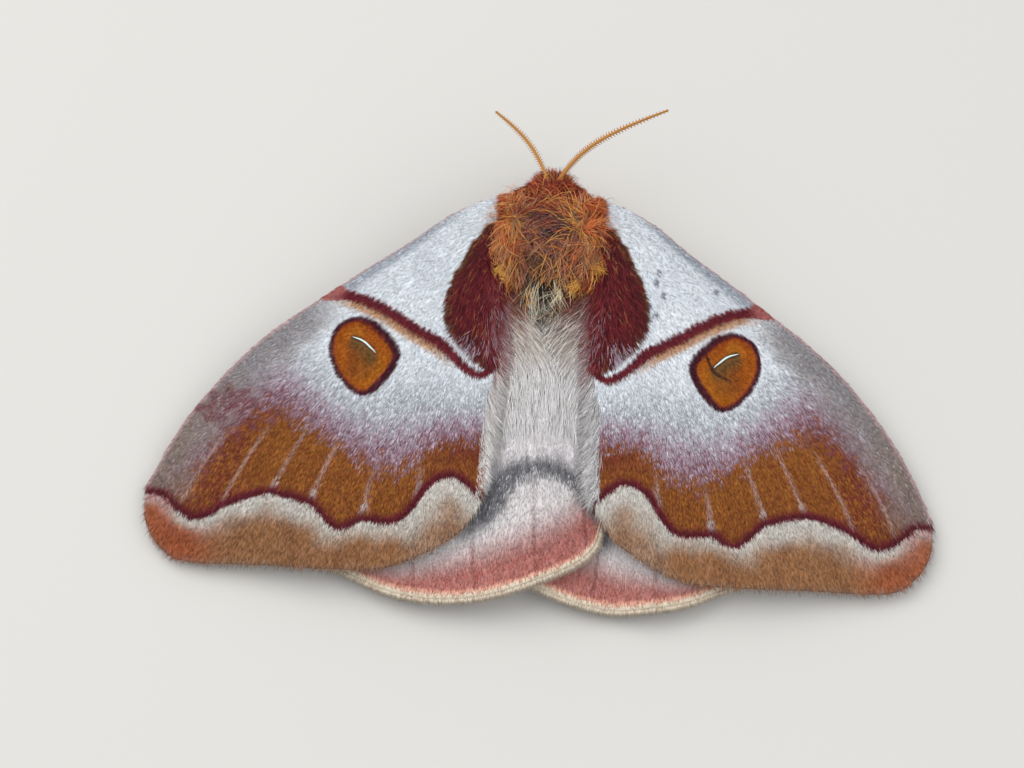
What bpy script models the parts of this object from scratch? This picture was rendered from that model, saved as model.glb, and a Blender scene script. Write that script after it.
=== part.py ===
"""A female emperor moth, Polythysana apollina, at rest on the ground, life size.

Run with: blender --background --python part.py, or from Blender's text editor.
The moth is drawn in millimetres, head towards +Y and floor at Z 0, and its meshes are made in metres.
At rest the forewings lie like a low roof over the hindwings, and the left hindwing over the right one.
"""

import math
import random

import bmesh
import bpy
import numpy as np

MM = 0.001
GAP = 0.3
SEED = 11

# Wings: the roof that the tops of the forewings follow, falling outwards and backwards from the body
ROOF_TOP = 9.0
ROOF_SIDE_FALL = 0.115
ROOF_REAR_FALL = 0.10
ROOF_DROOP = 0.008
ROOF_DROOP_FROM = -26.0
BODY_HALF_WIDTH = 5.0
MEMBRANE = 0.5
VEIN_RISE = 0.2
VEIN_HALF_WIDTH = 0.35
LAYER = MEMBRANE + VEIN_RISE + GAP + 0.2

# Forewing outline on the ground plan, for the right wing: leading edge, outer edge and inner edge
WING_ROOT_X = 4.5
FORE_COSTA = [(4.5, 4.6), (9.7, 3.0), (13.7, 0.6), (21.3, -4.6), (28.7, -10.3), (34.5, -17.4),
              (38.6, -25.7)]
FORE_TERMEN = [(38.6, -25.7), (38.2, -29.4), (36.7, -31.9), (34.3, -33.4), (28.5, -33.8), (19.6, -34.3),
               (13.8, -34.0), (8.5, -31.5), (6.0, -28.9), (5.2, -26.6)]
FORE_INNER = [(4.5, -2.4), (4.5, -9.0), (4.9, -16.0), (5.1, -22.0), (5.2, -26.6)]
FORE_CAMBER = 0.9
COSTA_ROLL = 1.8
COSTA_ROLL_SHARE = 0.24
COSTA_ROLL_TIP = 0.5
COSTA_BEAD = 0.35
TERMEN_DROP = 0.5
FORE_PLEAT = 0.06
FORE_ROWS = 16

# Forewing veins: share of the way from leading to inner edge at the root, at the cell's end and at the
# outer edge, and the share of the wing's length where the vein starts to stand up
CELL_END = 0.45
FORE_VEINS = [(0.07, 0.09, 0.07, 0.0), (0.19, 0.24, 0.20, 0.0), (0.31, 0.32, 0.31, CELL_END),
              (0.43, 0.43, 0.42, CELL_END), (0.55, 0.54, 0.52, CELL_END), (0.67, 0.61, 0.64, 0.0),
              (0.80, 0.74, 0.78, 0.30), (0.93, 0.91, 0.92, 0.0)]
CELL_VEINS = (1, 5)

# Hindwing outline, for the right wing; its inner part crosses the body's midline at rest
HIND_COSTA = [(4.6, -1.6), (12.0, -6.0), (20.0, -14.5), (24.5, -23.0), (24.6, -28.5)]
HIND_TERMEN = [(24.6, -28.5), (22.0, -32.3), (18.5, -34.1), (13.5, -36.3), (8.0, -36.9), (2.5, -36.0),
               (-2.6, -33.9), (-5.4, -31.6), (-6.2, -29.0)]
HIND_INNER = [(4.6, -4.8), (3.2, -6.9), (0.2, -9.4), (-3.0, -12.0), (-5.0, -16.0), (-5.7, -22.0),
              (-6.2, -29.0)]
HIND_VEINS = [(0.12, 0.14, 0.13, 0.0), (0.28, 0.28, 0.28, 0.4), (0.44, 0.43, 0.44, 0.4),
              (0.60, 0.58, 0.60, 0.0), (0.76, 0.75, 0.76, 0.0), (0.91, 0.90, 0.91, 0.0)]
HIND_CELL_VEINS = (0, 3)
HIND_ROWS = 12
HIND_PLEAT = 0.08
ARCH_HEIGHT = 1.0
ARCH_HALF_WIDTH = 5.0
ARCH_FADE = (-22.0, -37.0)
HIND_TUCK = 0.5
HIND_TUCK_FROM = (14.0, 22.0)
UNDER_FROM = (7.0, 12.0)

# Thorax: a rounded box with flats where the wings, legs, head and abdomen meet it
THORAX_CENTRE = (0.0, 0.0, 6.4)
THORAX_RADII = (5.8, 7.0, 4.3)
THORAX_POWER = 2.8
THORAX_HALF_WIDTH = WING_ROOT_X - GAP
THORAX_FRONT = 6.2
THORAX_BACK = -4.2
THORAX_UNDER = 2.4
CAPE_CENTRE = (0.0, -0.8)
CAPE_RADII = (5.9, 7.8)
CAPE_POWER = 2.2
CAPE_TOP = 11.9
CAPE_REAR_FALL = 1.7
CAPE_REAR_NARROW = 0.36
CAPE_REAR = (2.0, 9.0)
CAPE_OVER_WINGS = 0.55 + VEIN_RISE + GAP
CAPE_FRONT_DROP = 2.4
CAPE_FRONT = (5.0, 6.4)
COLLAR_CENTRE = (0.0, 4.0, 8.7)
COLLAR_RADII = (5.0, 3.2, 2.2)
COLLAR_UNDER = 8.0

# Locks of fur: counts, lengths and widths, and the two whorls that the back's fur runs out from
WHORLS = ((-3.4, 2.2), (3.4, 2.2))
BACK_LOCKS = 54
BACK_LOCK_LENGTH = (2.6, 4.0)
RUMP_LOCKS = 15
RUMP_LOCK_LENGTH = (3.2, 4.6)
LOCK_WIDTH = (1.0, 1.4)
LOCK_DEPTH = 0.5
LOCK_SINK = 0.3
LOCK_RINGS = 3
LOCK_FRONT_LIMIT = 7.7
FACE_LOCKS = 20
FACE_LOCK_LENGTH = (1.3, 1.9)
FACE_LOCK_WIDTH = (0.55, 0.75)

# Head, eyes, palps and antennae
HEAD_CENTRE = (0.0, 7.3, 4.9)
HEAD_RADII = (2.3, 1.9, 2.3)
HEAD_POWER = 2.3
HEAD_BACK = THORAX_FRONT + GAP
HEAD_HALF_WIDTH = 1.9
EYE_RADII = (0.84, 1.05, 1.15)
EYE_CENTRE = (HEAD_HALF_WIDTH + GAP, 7.6, 4.6)
PALP_LENGTH = 1.4
PALP_RADIUS = 0.42
ANTENNA_BASE = (0.7, 7.75, 7.75)
ANTENNA_REACH = {"l": (-5.65, 8.8, -2.0), "r": (10.65, 7.15, 2.25)}
ANTENNA_BOW = {"l": (0.7, 0.1, 0.3), "r": (-1.7, 0.0, 0.25)}
ANTENNA_RADIUS = (0.30, 0.25)
RAMUS_COUNT = 20
RAMUS_LENGTH = 0.4

# Abdomen: half widths and top heights along its length, under the arch of the hindwings
ABDOMEN_FRONT = THORAX_BACK - GAP
ABDOMEN_LENGTH = 23.5
ABDOMEN_HALF_WIDTH = 3.9
ABDOMEN_TOP = (6.3, 3.3)
ABDOMEN_SINK = 0.12
ABDOMEN_RINGS = 21
ABDOMEN_SEGMENTS = 7
SEGMENT_DEPTH = 0.14

# Legs, for the right side: knee, ankle and toe on the ground plan, with heights above the floor
LEG_ROOT_Z = 3.6
LEG_RADII = (0.72, 0.62, 0.42, 0.36, 0.30)
LEGS = {
    "leg_fore": {"root_y": 4.0, "knee": (7.0, 6.0, 4.2), "ankle": (8.2, 6.6, 0.9), "toe": (9.6, 5.2, 0.26)},
    "leg_mid": {"root_y": 0.4, "knee": (8.2, 1.0, 4.2), "ankle": (10.4, 0.4, 0.9), "toe": (13.2, -1.2, 0.26)},
    "leg_hind": {"root_y": -3.6, "knee": (8.2, -7.6, 3.8), "ankle": (9.8, -13.0, 0.9),
                 "toe": (11.2, -17.0, 0.26)},
}

MATERIALS = {
    "white_scales": ((0.72, 0.72, 0.76), 0.85),
    "pink_scales": ((0.80, 0.62, 0.60), 0.85),
    "rufous_fur": ((0.42, 0.13, 0.05), 0.9),
    "cream_fur": ((0.62, 0.55, 0.48), 0.9),
    "leg_fur": ((0.45, 0.30, 0.24), 0.85),
    "antenna_gold": ((0.62, 0.31, 0.08), 0.7),
    "eye_black": ((0.03, 0.02, 0.02), 0.25),
}


def clear_scene():
    for obj in list(bpy.data.objects):
        bpy.data.objects.remove(obj, do_unlink=True)


def material(name):
    """The named material, made the first time that it is asked for."""
    found = bpy.data.materials.get(name)
    if found:
        return found
    colour, roughness = MATERIALS[name]
    made = bpy.data.materials.new(name)
    made.use_nodes = True
    shader = made.node_tree.nodes["Principled BSDF"]
    shader.inputs["Base Color"].default_value = (*colour, 1.0)
    shader.inputs["Roughness"].default_value = roughness
    made.diffuse_color = (*colour, 1.0)
    return made


def smoothstep(low, high, value):
    share = np.clip((value - low) / (high - low), 0.0, 1.0)
    return share * share * (3 - 2 * share)


def curve_through(points, samples=24):
    """A smooth curve through the points, as a function of the share of its length."""
    p = np.array(points, float)
    ends = np.vstack([2 * p[0] - p[1], p, 2 * p[-1] - p[-2]])
    t = np.linspace(0, 1, samples, endpoint=False)[:, None]
    runs = []
    for a, b, c, d in zip(ends, ends[1:], ends[2:], ends[3:]):
        runs.append(b + 0.5 * t * (c - a + t * (2 * a - 5 * b + 4 * c - d + t * (3 * (b - c) + d - a))))
    dense = np.vstack([*runs, p[-1:]])
    length = np.concatenate([[0.0], np.cumsum(np.linalg.norm(np.diff(dense, axis=0), axis=1))])

    def at(share):
        where = np.asarray(share, float) * length[-1]
        return np.stack([np.interp(where, length, dense[:, k]) for k in range(p.shape[1])], axis=-1)

    return at


def mesh_object(name, points, faces, material_name=None, smooth=True):
    """A closed mesh object from points in millimetres."""
    mesh = bpy.data.meshes.new(name)
    mesh.from_pydata([tuple(float(v) * MM for v in p) for p in points], [], [tuple(f) for f in faces])
    work = bmesh.new()
    work.from_mesh(mesh)
    bmesh.ops.recalc_face_normals(work, faces=work.faces)
    if work.calc_volume(signed=True) < 0:
        bmesh.ops.reverse_faces(work, faces=work.faces)
    work.to_mesh(mesh)
    work.free()
    if smooth:
        mesh.shade_smooth()
        mesh.set_sharp_from_angle(angle=math.radians(40))
    obj = bpy.data.objects.new(name, mesh)
    bpy.context.scene.collection.objects.link(obj)
    if material_name:
        mesh.materials.append(material(material_name))
    return obj


def keep_largest_surface(mesh):
    """Drops every closed surface of the mesh but its largest."""
    work = bmesh.new()
    work.from_mesh(mesh)
    left = set(work.faces)
    shells = []
    while left:
        shell = set()
        border = [left.pop()]
        while border:
            face = border.pop()
            shell.add(face)
            for edge in face.edges:
                fresh = [other for other in edge.link_faces if other in left]
                left.difference_update(fresh)
                border += fresh
        shells.append(shell)
    shells.sort(key=lambda faces: sum(face.calc_area() for face in faces))
    drop = [face for shell in shells[:-1] for face in shell]
    bmesh.ops.delete(work, geom=drop, context="FACES")
    work.to_mesh(mesh)
    work.free()


def fuse(name, base, pieces, material_name):
    """The base object and the pieces as one closed body, by a Boolean union on a collection."""
    if pieces:
        group = bpy.data.collections.new(name + "_pieces")
        for piece in pieces:
            bpy.context.scene.collection.objects.unlink(piece)
            group.objects.link(piece)
        union = base.modifiers.new("union", "BOOLEAN")
        union.operation = "UNION"
        union.operand_type = "COLLECTION"
        union.collection = group
        union.solver = "MANIFOLD"
        graph = bpy.context.evaluated_depsgraph_get()
        joined = bpy.data.meshes.new_from_object(base.evaluated_get(graph))
        base.modifiers.remove(union)
        old = base.data
        base.data = joined
        bpy.data.meshes.remove(old)
        for piece in pieces:
            bpy.data.objects.remove(piece, do_unlink=True)
        bpy.data.collections.remove(group)
        keep_largest_surface(base.data)
    base.name = name
    base.data.name = name
    base.data.materials.clear()
    base.data.materials.append(material(material_name))
    return base


def superellipsoid(name, centre, radii, power, rings=12, sides=20, **limits):
    """A rounded box, with flats where its points are held inside the limits."""
    points = []
    for i in range(rings + 1):
        polar = math.pi * i / rings
        count = 1 if i in (0, rings) else sides
        for j in range(count):
            turn = 2 * math.pi * j / sides
            ring = math.sin(polar)
            way = np.array([ring * math.cos(turn), math.cos(polar), ring * math.sin(turn)])
            length = (np.abs(way) ** power).sum() ** (-1 / power)
            points.append(np.array(centre) + way * length * np.array(radii))
    points = np.array(points)
    for axis, key in enumerate("xyz"):
        low, high = limits.get(key, (-math.inf, math.inf))
        points[:, axis] = np.clip(points[:, axis], low, high)
    faces = []
    last = len(points) - 1
    for j in range(sides):
        after = (j + 1) % sides
        faces.append((0, 1 + j, 1 + after))
        faces.append((last, last - sides + after, last - sides + j))
        for i in range(rings - 2):
            a, b = 1 + i * sides + j, 1 + i * sides + after
            faces += [(a, a + sides, b), (b, a + sides, b + sides)]
    return mesh_object(name, points, faces)


def tube(name, path, radii, sides=6, across=(0.0, 0.0, 1.0), floor=None, caps=None, teeth=None):
    """A closed tube along the path. teeth widens its rings by these amounts along its two edges."""
    path = np.array(path, float)
    radii = np.interp(np.linspace(0, 1, len(path)), np.linspace(0, 1, len(radii)), radii)
    ways = np.gradient(path, axis=0)
    if caps is not None:
        ways[0] = caps
    points = []
    teeth = np.zeros(len(path)) if teeth is None else teeth
    for centre, way, radius, tooth in zip(path, ways, radii, teeth):
        way = way / np.linalg.norm(way)
        side = np.cross(way, across)
        side = side / np.linalg.norm(side)
        over = np.cross(side, way)
        for j in range(sides):
            turn = 2 * math.pi * j / sides
            wide = radius + (tooth if 2 * j % sides == 0 else 0.0)
            lean = 0.35 * tooth * way if wide > radius else 0.0
            points.append(centre + wide * math.cos(turn) * side + radius * math.sin(turn) * over + lean)
    points = np.array(points)
    if floor is not None:
        points[:, 2] = np.maximum(points[:, 2], floor)
    faces = []
    for i in range(len(path) - 1):
        for j in range(sides):
            a, b = i * sides + j, i * sides + (j + 1) % sides
            faces += [(a, b, a + sides), (b, b + sides, a + sides)]
    first, last = len(points), len(points) + 1
    points = np.vstack([points, points[:sides].mean(axis=0), points[-sides:].mean(axis=0)])
    start = (len(path) - 1) * sides
    for j in range(sides):
        after = (j + 1) % sides
        faces += [(first, after, j), (last, start + j, start + after)]
    return mesh_object(name, points, faces)


def roof(x, y):
    """Height of the tops of the forewings without their camber."""
    out = np.sqrt(x * x + 4.0) - BODY_HALF_WIDTH
    behind = np.minimum(y - ROOF_DROOP_FROM, 0.0)
    return ROOF_TOP - ROOF_SIDE_FALL * out + ROOF_REAR_FALL * y - ROOF_DROOP * behind * behind


def arch(x, y):
    """Rise of the hindwings over the abdomen."""
    across = np.clip(1 - (x / ARCH_HALF_WIDTH) ** 2, 0.0, 1.0) ** 2
    along = 1 - 0.7 * smoothstep(-ARCH_FADE[0], -ARCH_FADE[1], -y)
    return ARCH_HEIGHT * across * along


def hind_top(x, y, below):
    """Height of a hindwing's membrane; below is 1 for the wing that lies under the other one."""
    tuck = HIND_TUCK * smoothstep(*HIND_TUCK_FROM, np.abs(x))
    under = below * LAYER * (1 - smoothstep(*UNDER_FROM, x))
    return roof(x, y) - LAYER + arch(x, y) - tuck - under


def coons(costa, termen, inner):
    """The wing's plan: a patch between its edges, from share across q and share along s."""
    leading, outer, trailing = curve_through(costa), curve_through(termen), curve_through(inner)
    start, tip, heel, corner = [np.array(p, float) for p in (costa[0], costa[-1], inner[0], inner[-1])]

    def plan(q, s):
        q, s = np.broadcast_arrays(np.asarray(q, float), np.asarray(s, float))
        u, v = q[..., None], s[..., None]
        root = start + u * (heel - start)
        ruled = (1 - u) * leading(s) + u * trailing(s) + (1 - v) * root + v * outer(q)
        bilinear = (1 - u) * ((1 - v) * start + v * tip) + u * ((1 - v) * heel + v * corner)
        return ruled - bilinear

    return plan


def vein_share(vein, s):
    """Where a vein lies across the wing, through its places at the root, the cell's end and the edge."""
    root, cell, edge, _ = vein
    t = np.asarray(s, float)
    a, b, c = 0.0, CELL_END, 1.0
    return (root * (t - b) * (t - c) / ((a - b) * (a - c)) + cell * (t - a) * (t - c) / ((b - a) * (b - c))
            + edge * (t - a) * (t - b) / ((c - a) * (c - b)))


def wing_mesh(name, plan, veins, cell_veins, rows, top_of, depth_of, side, pleat, material_name):
    """A wing of even thickness whose veins stand up on its upper face, with a shallow pleat between veins.

    side is 1 for the right wing and -1 for the left one.
    """
    cell_row = round(CELL_END * rows)
    upper, lower = [], []
    for i in range(rows + 1):
        s = i / rows
        chord = np.linalg.norm(plan(1.0, s) - plan(0.0, s)) if i < rows else 40.0
        half = VEIN_HALF_WIDTH / max(chord, 8.0)
        shares, rises = [0.0], [0.0]
        for k, vein in enumerate(veins):
            q = float(vein_share(vein, s))
            in_cell = i == cell_row and cell_veins[0] <= k <= cell_veins[1]
            flank = 0.7 * VEIN_RISE if in_cell else 0.0
            crest = VEIN_RISE if s >= vein[3] - 1e-6 or in_cell else 0.0
            shares += [q - half, q, q + half]
            rises += [flank, crest, flank]
        shares.append(1.0)
        rises.append(0.0)
        for k in range(len(shares) - 2, -1, -3):
            shares.insert(k + 1, 0.5 * (shares[k] + shares[k + 1]))
            rises.insert(k + 1, -pleat * min(1.0, 3 * s) if 0 < k < 3 * len(veins) else 0.0)
        shares, rises = np.array(shares), np.array(rises)
        xy = plan(shares, s)
        z = top_of(xy[:, 0], xy[:, 1], shares, s) + np.minimum(rises, 0.0)
        step = 0.05
        flat = top_of(xy[:, 0], xy[:, 1], shares, s)
        slope_x = (top_of(xy[:, 0] + step, xy[:, 1], shares, s) - flat) / step
        slope_y = (top_of(xy[:, 0], xy[:, 1] + step, shares, s) - flat) / step
        depth = MEMBRANE * np.sqrt(1 + slope_x ** 2 + slope_y ** 2) + depth_of(shares)
        upper.append(np.column_stack([side * xy[:, 0], xy[:, 1], z + np.maximum(rises, 0.0)]))
        lower.append(np.column_stack([side * xy[:, 0], xy[:, 1], z - depth]))
    columns = len(upper[0])
    points = np.vstack([*upper, *lower])
    offset = len(points) // 2
    faces = []
    for i in range(rows):
        for j in range(columns - 1):
            a, b = i * columns + j, i * columns + j + 1
            c, d = a + columns, b + columns
            faces += [(a, b, c), (b, d, c)]
            a, b, c, d = a + offset, b + offset, c + offset, d + offset
            faces += [(a, c, b), (b, c, d)]
    rim = [j for j in range(columns)]
    rim += [i * columns + columns - 1 for i in range(1, rows + 1)]
    rim += [rows * columns + j for j in range(columns - 2, -1, -1)]
    rim += [i * columns for i in range(rows - 1, 0, -1)]
    for a, b in zip(rim, rim[1:] + rim[:1]):
        faces += [(a, a + offset, b), (b, a + offset, b + offset)]
    return mesh_object(name, points, faces, material_name)


def forewings():
    plan = coons(FORE_COSTA, FORE_TERMEN, FORE_INNER)

    def top(x, y, q, s):
        camber = FORE_CAMBER * np.sin(math.pi * np.clip(q, 0, 1)) * math.sin(math.pi * min(s, 1.0)) ** 0.8
        roll = COSTA_ROLL * np.clip(1 - q / COSTA_ROLL_SHARE, 0, 1) ** 2
        roll = roll * smoothstep(0.0, 0.25, s) * (1 - COSTA_ROLL_TIP * smoothstep(0.75, 1.0, s))
        drop = TERMEN_DROP * smoothstep(0.85, 1.0, s) * smoothstep(24.0, 31.0, x)
        return roof(x, y) + camber - roll - drop

    def extra(q):
        return COSTA_BEAD * np.clip(1 - q / 0.03, 0, 1)

    for suffix, side in (("l", -1), ("r", 1)):
        wing_mesh("forewing_" + suffix, plan, FORE_VEINS, CELL_VEINS, FORE_ROWS, top, extra, side, FORE_PLEAT,
                  "white_scales")


def hindwings():
    """The left wing lies over the right one, and both cross the midline over the abdomen."""
    plan = coons(HIND_COSTA, HIND_TERMEN, HIND_INNER)
    for suffix, side in (("l", -1), ("r", 1)):
        below = 1.0 if suffix == "r" else 0.0

        def top(x, y, q, s, side=side, below=below):
            return hind_top(side * x, y, below)

        def extra(q):
            return 0.0 * q

        wing_mesh("hindwing_" + suffix, plan, HIND_VEINS, HIND_CELL_VEINS, HIND_ROWS, top, extra, side,
                  HIND_PLEAT, "pink_scales")


def lock(name, path, width, over):
    """A flat tapered lock of fur along the path, widest at its first third, with a fine tip.

    over is the direction in which the lock is thin.
    """
    path = np.array(path, float)
    ways = np.gradient(path, axis=0)
    points = []
    last = len(path) - 1
    for i, (centre, way) in enumerate(zip(path[:-1], ways[:-1])):
        way = way / np.linalg.norm(way)
        side = np.cross(way, over)
        side = side / np.linalg.norm(side)
        thin = np.cross(side, way)
        share = i / last
        half = 0.5 * width * (0.75 + 0.9 * share) * (1 - share) ** 0.55
        deep = 0.5 * LOCK_DEPTH * (1 - 0.55 * share)
        points += [centre + half * side, centre + deep * thin, centre - half * side, centre - deep * thin]
    points.append(path[-1])
    faces = [(0, 1, 2), (0, 2, 3)]
    for i in range(last - 1):
        for j in range(4):
            a, b = 4 * i + j, 4 * i + (j + 1) % 4
            faces += [(a, b, a + 4), (b, b + 4, a + 4)]
    for j in range(4):
        faces.append((4 * (last - 1) + j, 4 * (last - 1) + (j + 1) % 4, 4 * last))
    return mesh_object(name, points, faces)


def cape_floor(x, y):
    """Underside of the thorax's cape of fur: just clear of the wings, and lower in front of them."""
    return roof(np.abs(x), y) + CAPE_OVER_WINGS - CAPE_FRONT_DROP * smoothstep(*CAPE_FRONT, y)


def cape_width(y):
    return CAPE_RADII[0] * (1 - CAPE_REAR_NARROW * smoothstep(*CAPE_REAR, -y))


def cape_top(x, y):
    """Height of the cape's rounded back, and of its underside beyond its rim."""
    out = np.abs(x / cape_width(y)) ** CAPE_POWER + np.abs((y - CAPE_CENTRE[1]) / CAPE_RADII[1]) ** CAPE_POWER
    high = CAPE_TOP - CAPE_REAR_FALL * smoothstep(*CAPE_REAR, -y)
    low = cape_floor(x, y)
    return low + (high - low) * np.clip(1 - out, 0.0, 1.0) ** (1 / CAPE_POWER)


def cape():
    """The cape of fur over the thorax and the wing roots, as a dome on a curved base."""
    rings, sides = 7, 26
    points = [(0.0, CAPE_CENTRE[1])]
    for i in range(1, rings + 1):
        out = math.sin(0.5 * math.pi * i / rings)
        for j in range(sides):
            across, along = math.cos(2 * math.pi * j / sides), math.sin(2 * math.pi * j / sides)
            length = (abs(across) ** CAPE_POWER + abs(along) ** CAPE_POWER) ** (-1 / CAPE_POWER)
            y = CAPE_CENTRE[1] + CAPE_RADII[1] * out * length * along
            points.append((cape_width(y) * out * length * across, y))
    xy = np.array(points)
    x, y = xy[:, 0], xy[:, 1]
    rim = 1 + (rings - 1) * sides
    top = np.column_stack([x, y, cape_top(x, y)])
    top[rim:, 2] = cape_floor(x[rim:], y[rim:])
    base = np.column_stack([x, y, cape_floor(x, y)])[:rim]
    below = len(top)
    faces = []
    for j in range(sides):
        after = (j + 1) % sides
        faces += [(0, 1 + j, 1 + after), (below, below + 1 + after, below + 1 + j)]
        for i in range(rings - 1):
            a, b = 1 + i * sides + j, 1 + i * sides + after
            faces += [(a, a + sides, b), (b, a + sides, b + sides)]
            c, d = below + a, below + b
            if i < rings - 2:
                faces += [(c, d, c + sides), (d, d + sides, c + sides)]
            else:
                faces += [(c, d, a + sides), (d, b + sides, a + sides)]
    return mesh_object("cape", np.vstack([top, base]), faces)


def fur_path(x, y, way, length, lift, turn):
    """A lock's path over the thorax: it starts in the back, rises by lift and falls again past the rim."""
    path = []
    for i in range(LOCK_RINGS + 1):
        share = i / LOCK_RINGS
        bend = turn * share
        across = way[0] * math.cos(bend) - way[1] * math.sin(bend)
        along = way[0] * math.sin(bend) + way[1] * math.cos(bend)
        px = x + across * length * share
        py = min(y + along * length * share, LOCK_FRONT_LIMIT)
        z = float(cape_top(px, py)) - LOCK_SINK + (LOCK_SINK + lift) * share
        path.append((px, py, max(z, float(cape_floor(px, py)) + 0.5 * LOCK_DEPTH)))
    return path


def back_locks():
    """Locks over the whole back, running out from the two whorls, and longer ones over the rump."""
    made = []
    for i in range(BACK_LOCKS):
        out = 0.97 * math.sqrt((i + 0.5) / BACK_LOCKS)
        turn = i * math.pi * (3 - math.sqrt(5))
        y = CAPE_CENTRE[1] + CAPE_RADII[1] * out * math.sin(turn) * 0.93
        x = float(cape_width(y)) * out * math.cos(turn) * 0.93
        whorl = WHORLS[0] if x < 0 else WHORLS[1]
        way = np.array([x - whorl[0], y - whorl[1]])
        way = way / (np.linalg.norm(way) + 0.8) + np.array([0.0, -0.35 if y < 4 else 0.2])
        if y < -1:
            way = way + np.array([-0.05 * x, -0.8])
        way = way / np.linalg.norm(way)
        length = random.uniform(*BACK_LOCK_LENGTH)
        path = fur_path(x, y, way, length, random.uniform(0.3, 0.7), random.uniform(-0.4, 0.4))
        made.append(lock("lock", path, random.uniform(*LOCK_WIDTH), (0.0, 0.0, 1.0)))
    for i in range(RUMP_LOCKS):
        x = (i + 0.5) / RUMP_LOCKS * 6.0 - 3.0
        y = -4.9 - 1.4 * (1 - (x / 3.0) ** 2) + random.uniform(-0.8, 0.8)
        way = np.array([-0.09 * x + random.uniform(-0.12, 0.12), -1.0])
        length = random.uniform(*RUMP_LOCK_LENGTH) * (1 - 0.25 * abs(x) / 3.0)
        path = fur_path(x, y, way / np.linalg.norm(way), length, 0.25, random.uniform(-0.15, 0.15))
        made.append(lock("lock", path, random.uniform(*LOCK_WIDTH), (0.0, 0.0, 1.0)))
    return made


def thorax():
    core = superellipsoid("thorax", THORAX_CENTRE, THORAX_RADII, THORAX_POWER, rings=14, sides=24,
                          x=(-THORAX_HALF_WIDTH, THORAX_HALF_WIDTH), y=(THORAX_BACK, THORAX_FRONT),
                          z=(THORAX_UNDER, math.inf))
    narrow = (-THORAX_HALF_WIDTH + 0.05, THORAX_HALF_WIDTH - 0.05)
    collar = superellipsoid("collar", COLLAR_CENTRE, COLLAR_RADII, 2.2, rings=10, sides=18, x=narrow,
                            z=(COLLAR_UNDER, math.inf))
    fuse("thorax", core, [cape(), collar, *back_locks()], "rufous_fur")


def face_locks():
    """Short locks that hang over the face from the crown of the head, clear of the antennae and palps."""
    made = []
    for i in range(FACE_LOCKS):
        row, place = i % 2, (i // 2 + 0.5) / (FACE_LOCKS // 2)
        tilt = math.radians(58 - 32 * row + random.uniform(-6, 6))
        turn = (2 * place - 1) * math.radians(52)
        length = random.uniform(*FACE_LOCK_LENGTH)
        path = []
        for k in range(LOCK_RINGS + 1):
            share = k / LOCK_RINGS
            down = tilt - share * length / HEAD_RADII[2]
            way = np.array([math.sin(turn) * math.cos(down), math.cos(turn) * math.cos(down), math.sin(down)])
            reach = (np.abs(way / HEAD_RADII) ** HEAD_POWER).sum() ** (-1 / HEAD_POWER)
            path.append(np.array(HEAD_CENTRE) + way * (reach - 0.12 + 0.42 * share))
        made.append(lock("lock", path, random.uniform(*FACE_LOCK_WIDTH), (0.0, 0.7, 0.7)))
    return made


def head():
    skull = superellipsoid("head", HEAD_CENTRE, HEAD_RADII, HEAD_POWER, rings=10, sides=16,
                           x=(-HEAD_HALF_WIDTH, HEAD_HALF_WIDTH), y=(HEAD_BACK, math.inf))
    fuse("head", skull, face_locks(), "rufous_fur")
    for suffix, side in (("l", -1), ("r", 1)):
        x, y, z = EYE_CENTRE
        reach = (side * x, math.inf) if side > 0 else (-math.inf, side * x)
        eye = superellipsoid("eye_" + suffix, (side * x, y, z), EYE_RADII, 2.0, rings=8, sides=12, x=reach)
        eye.data.materials.append(material("eye_black"))
        tip = HEAD_CENTRE[1] + HEAD_RADII[1] + GAP
        start = np.array([side * 0.75, tip - 0.1, HEAD_CENTRE[2] - 1.4])
        way = np.array([0.0, 0.85, -0.5])
        path = [start + way * PALP_LENGTH * share for share in (0.0, 0.35, 0.7, 1.0)]
        tube("palp_" + suffix, path, (PALP_RADIUS, PALP_RADIUS * 1.1, 0.8 * PALP_RADIUS, 0.12),
             sides=6).data.materials.append(material("rufous_fur"))


def antennae():
    """Each antenna is a shaft with a comb of short teeth along both edges, shortest at its ends."""
    for suffix, side in (("l", -1), ("r", 1)):
        base = np.array([side * ANTENNA_BASE[0], ANTENNA_BASE[1], ANTENNA_BASE[2]])
        reach, bow = np.array(ANTENNA_REACH[suffix]), np.array(ANTENNA_BOW[suffix])
        shares = np.linspace(0, 1, 2 * RAMUS_COUNT + 1)
        path = base + reach * shares[:, None] + bow * np.sin(math.pi * shares)[:, None]
        teeth = np.where(np.arange(len(shares)) % 2 == 1, RAMUS_LENGTH, 0.0)
        teeth = teeth * np.sin(math.pi * np.clip(shares * 0.85 + 0.12, 0, 1)) ** 0.5
        shaft = tube("antenna_" + suffix, path, ANTENNA_RADIUS, across=(0.0, -0.44, 0.9), teeth=teeth)
        shaft.data.materials.append(material("antenna_gold"))


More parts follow.
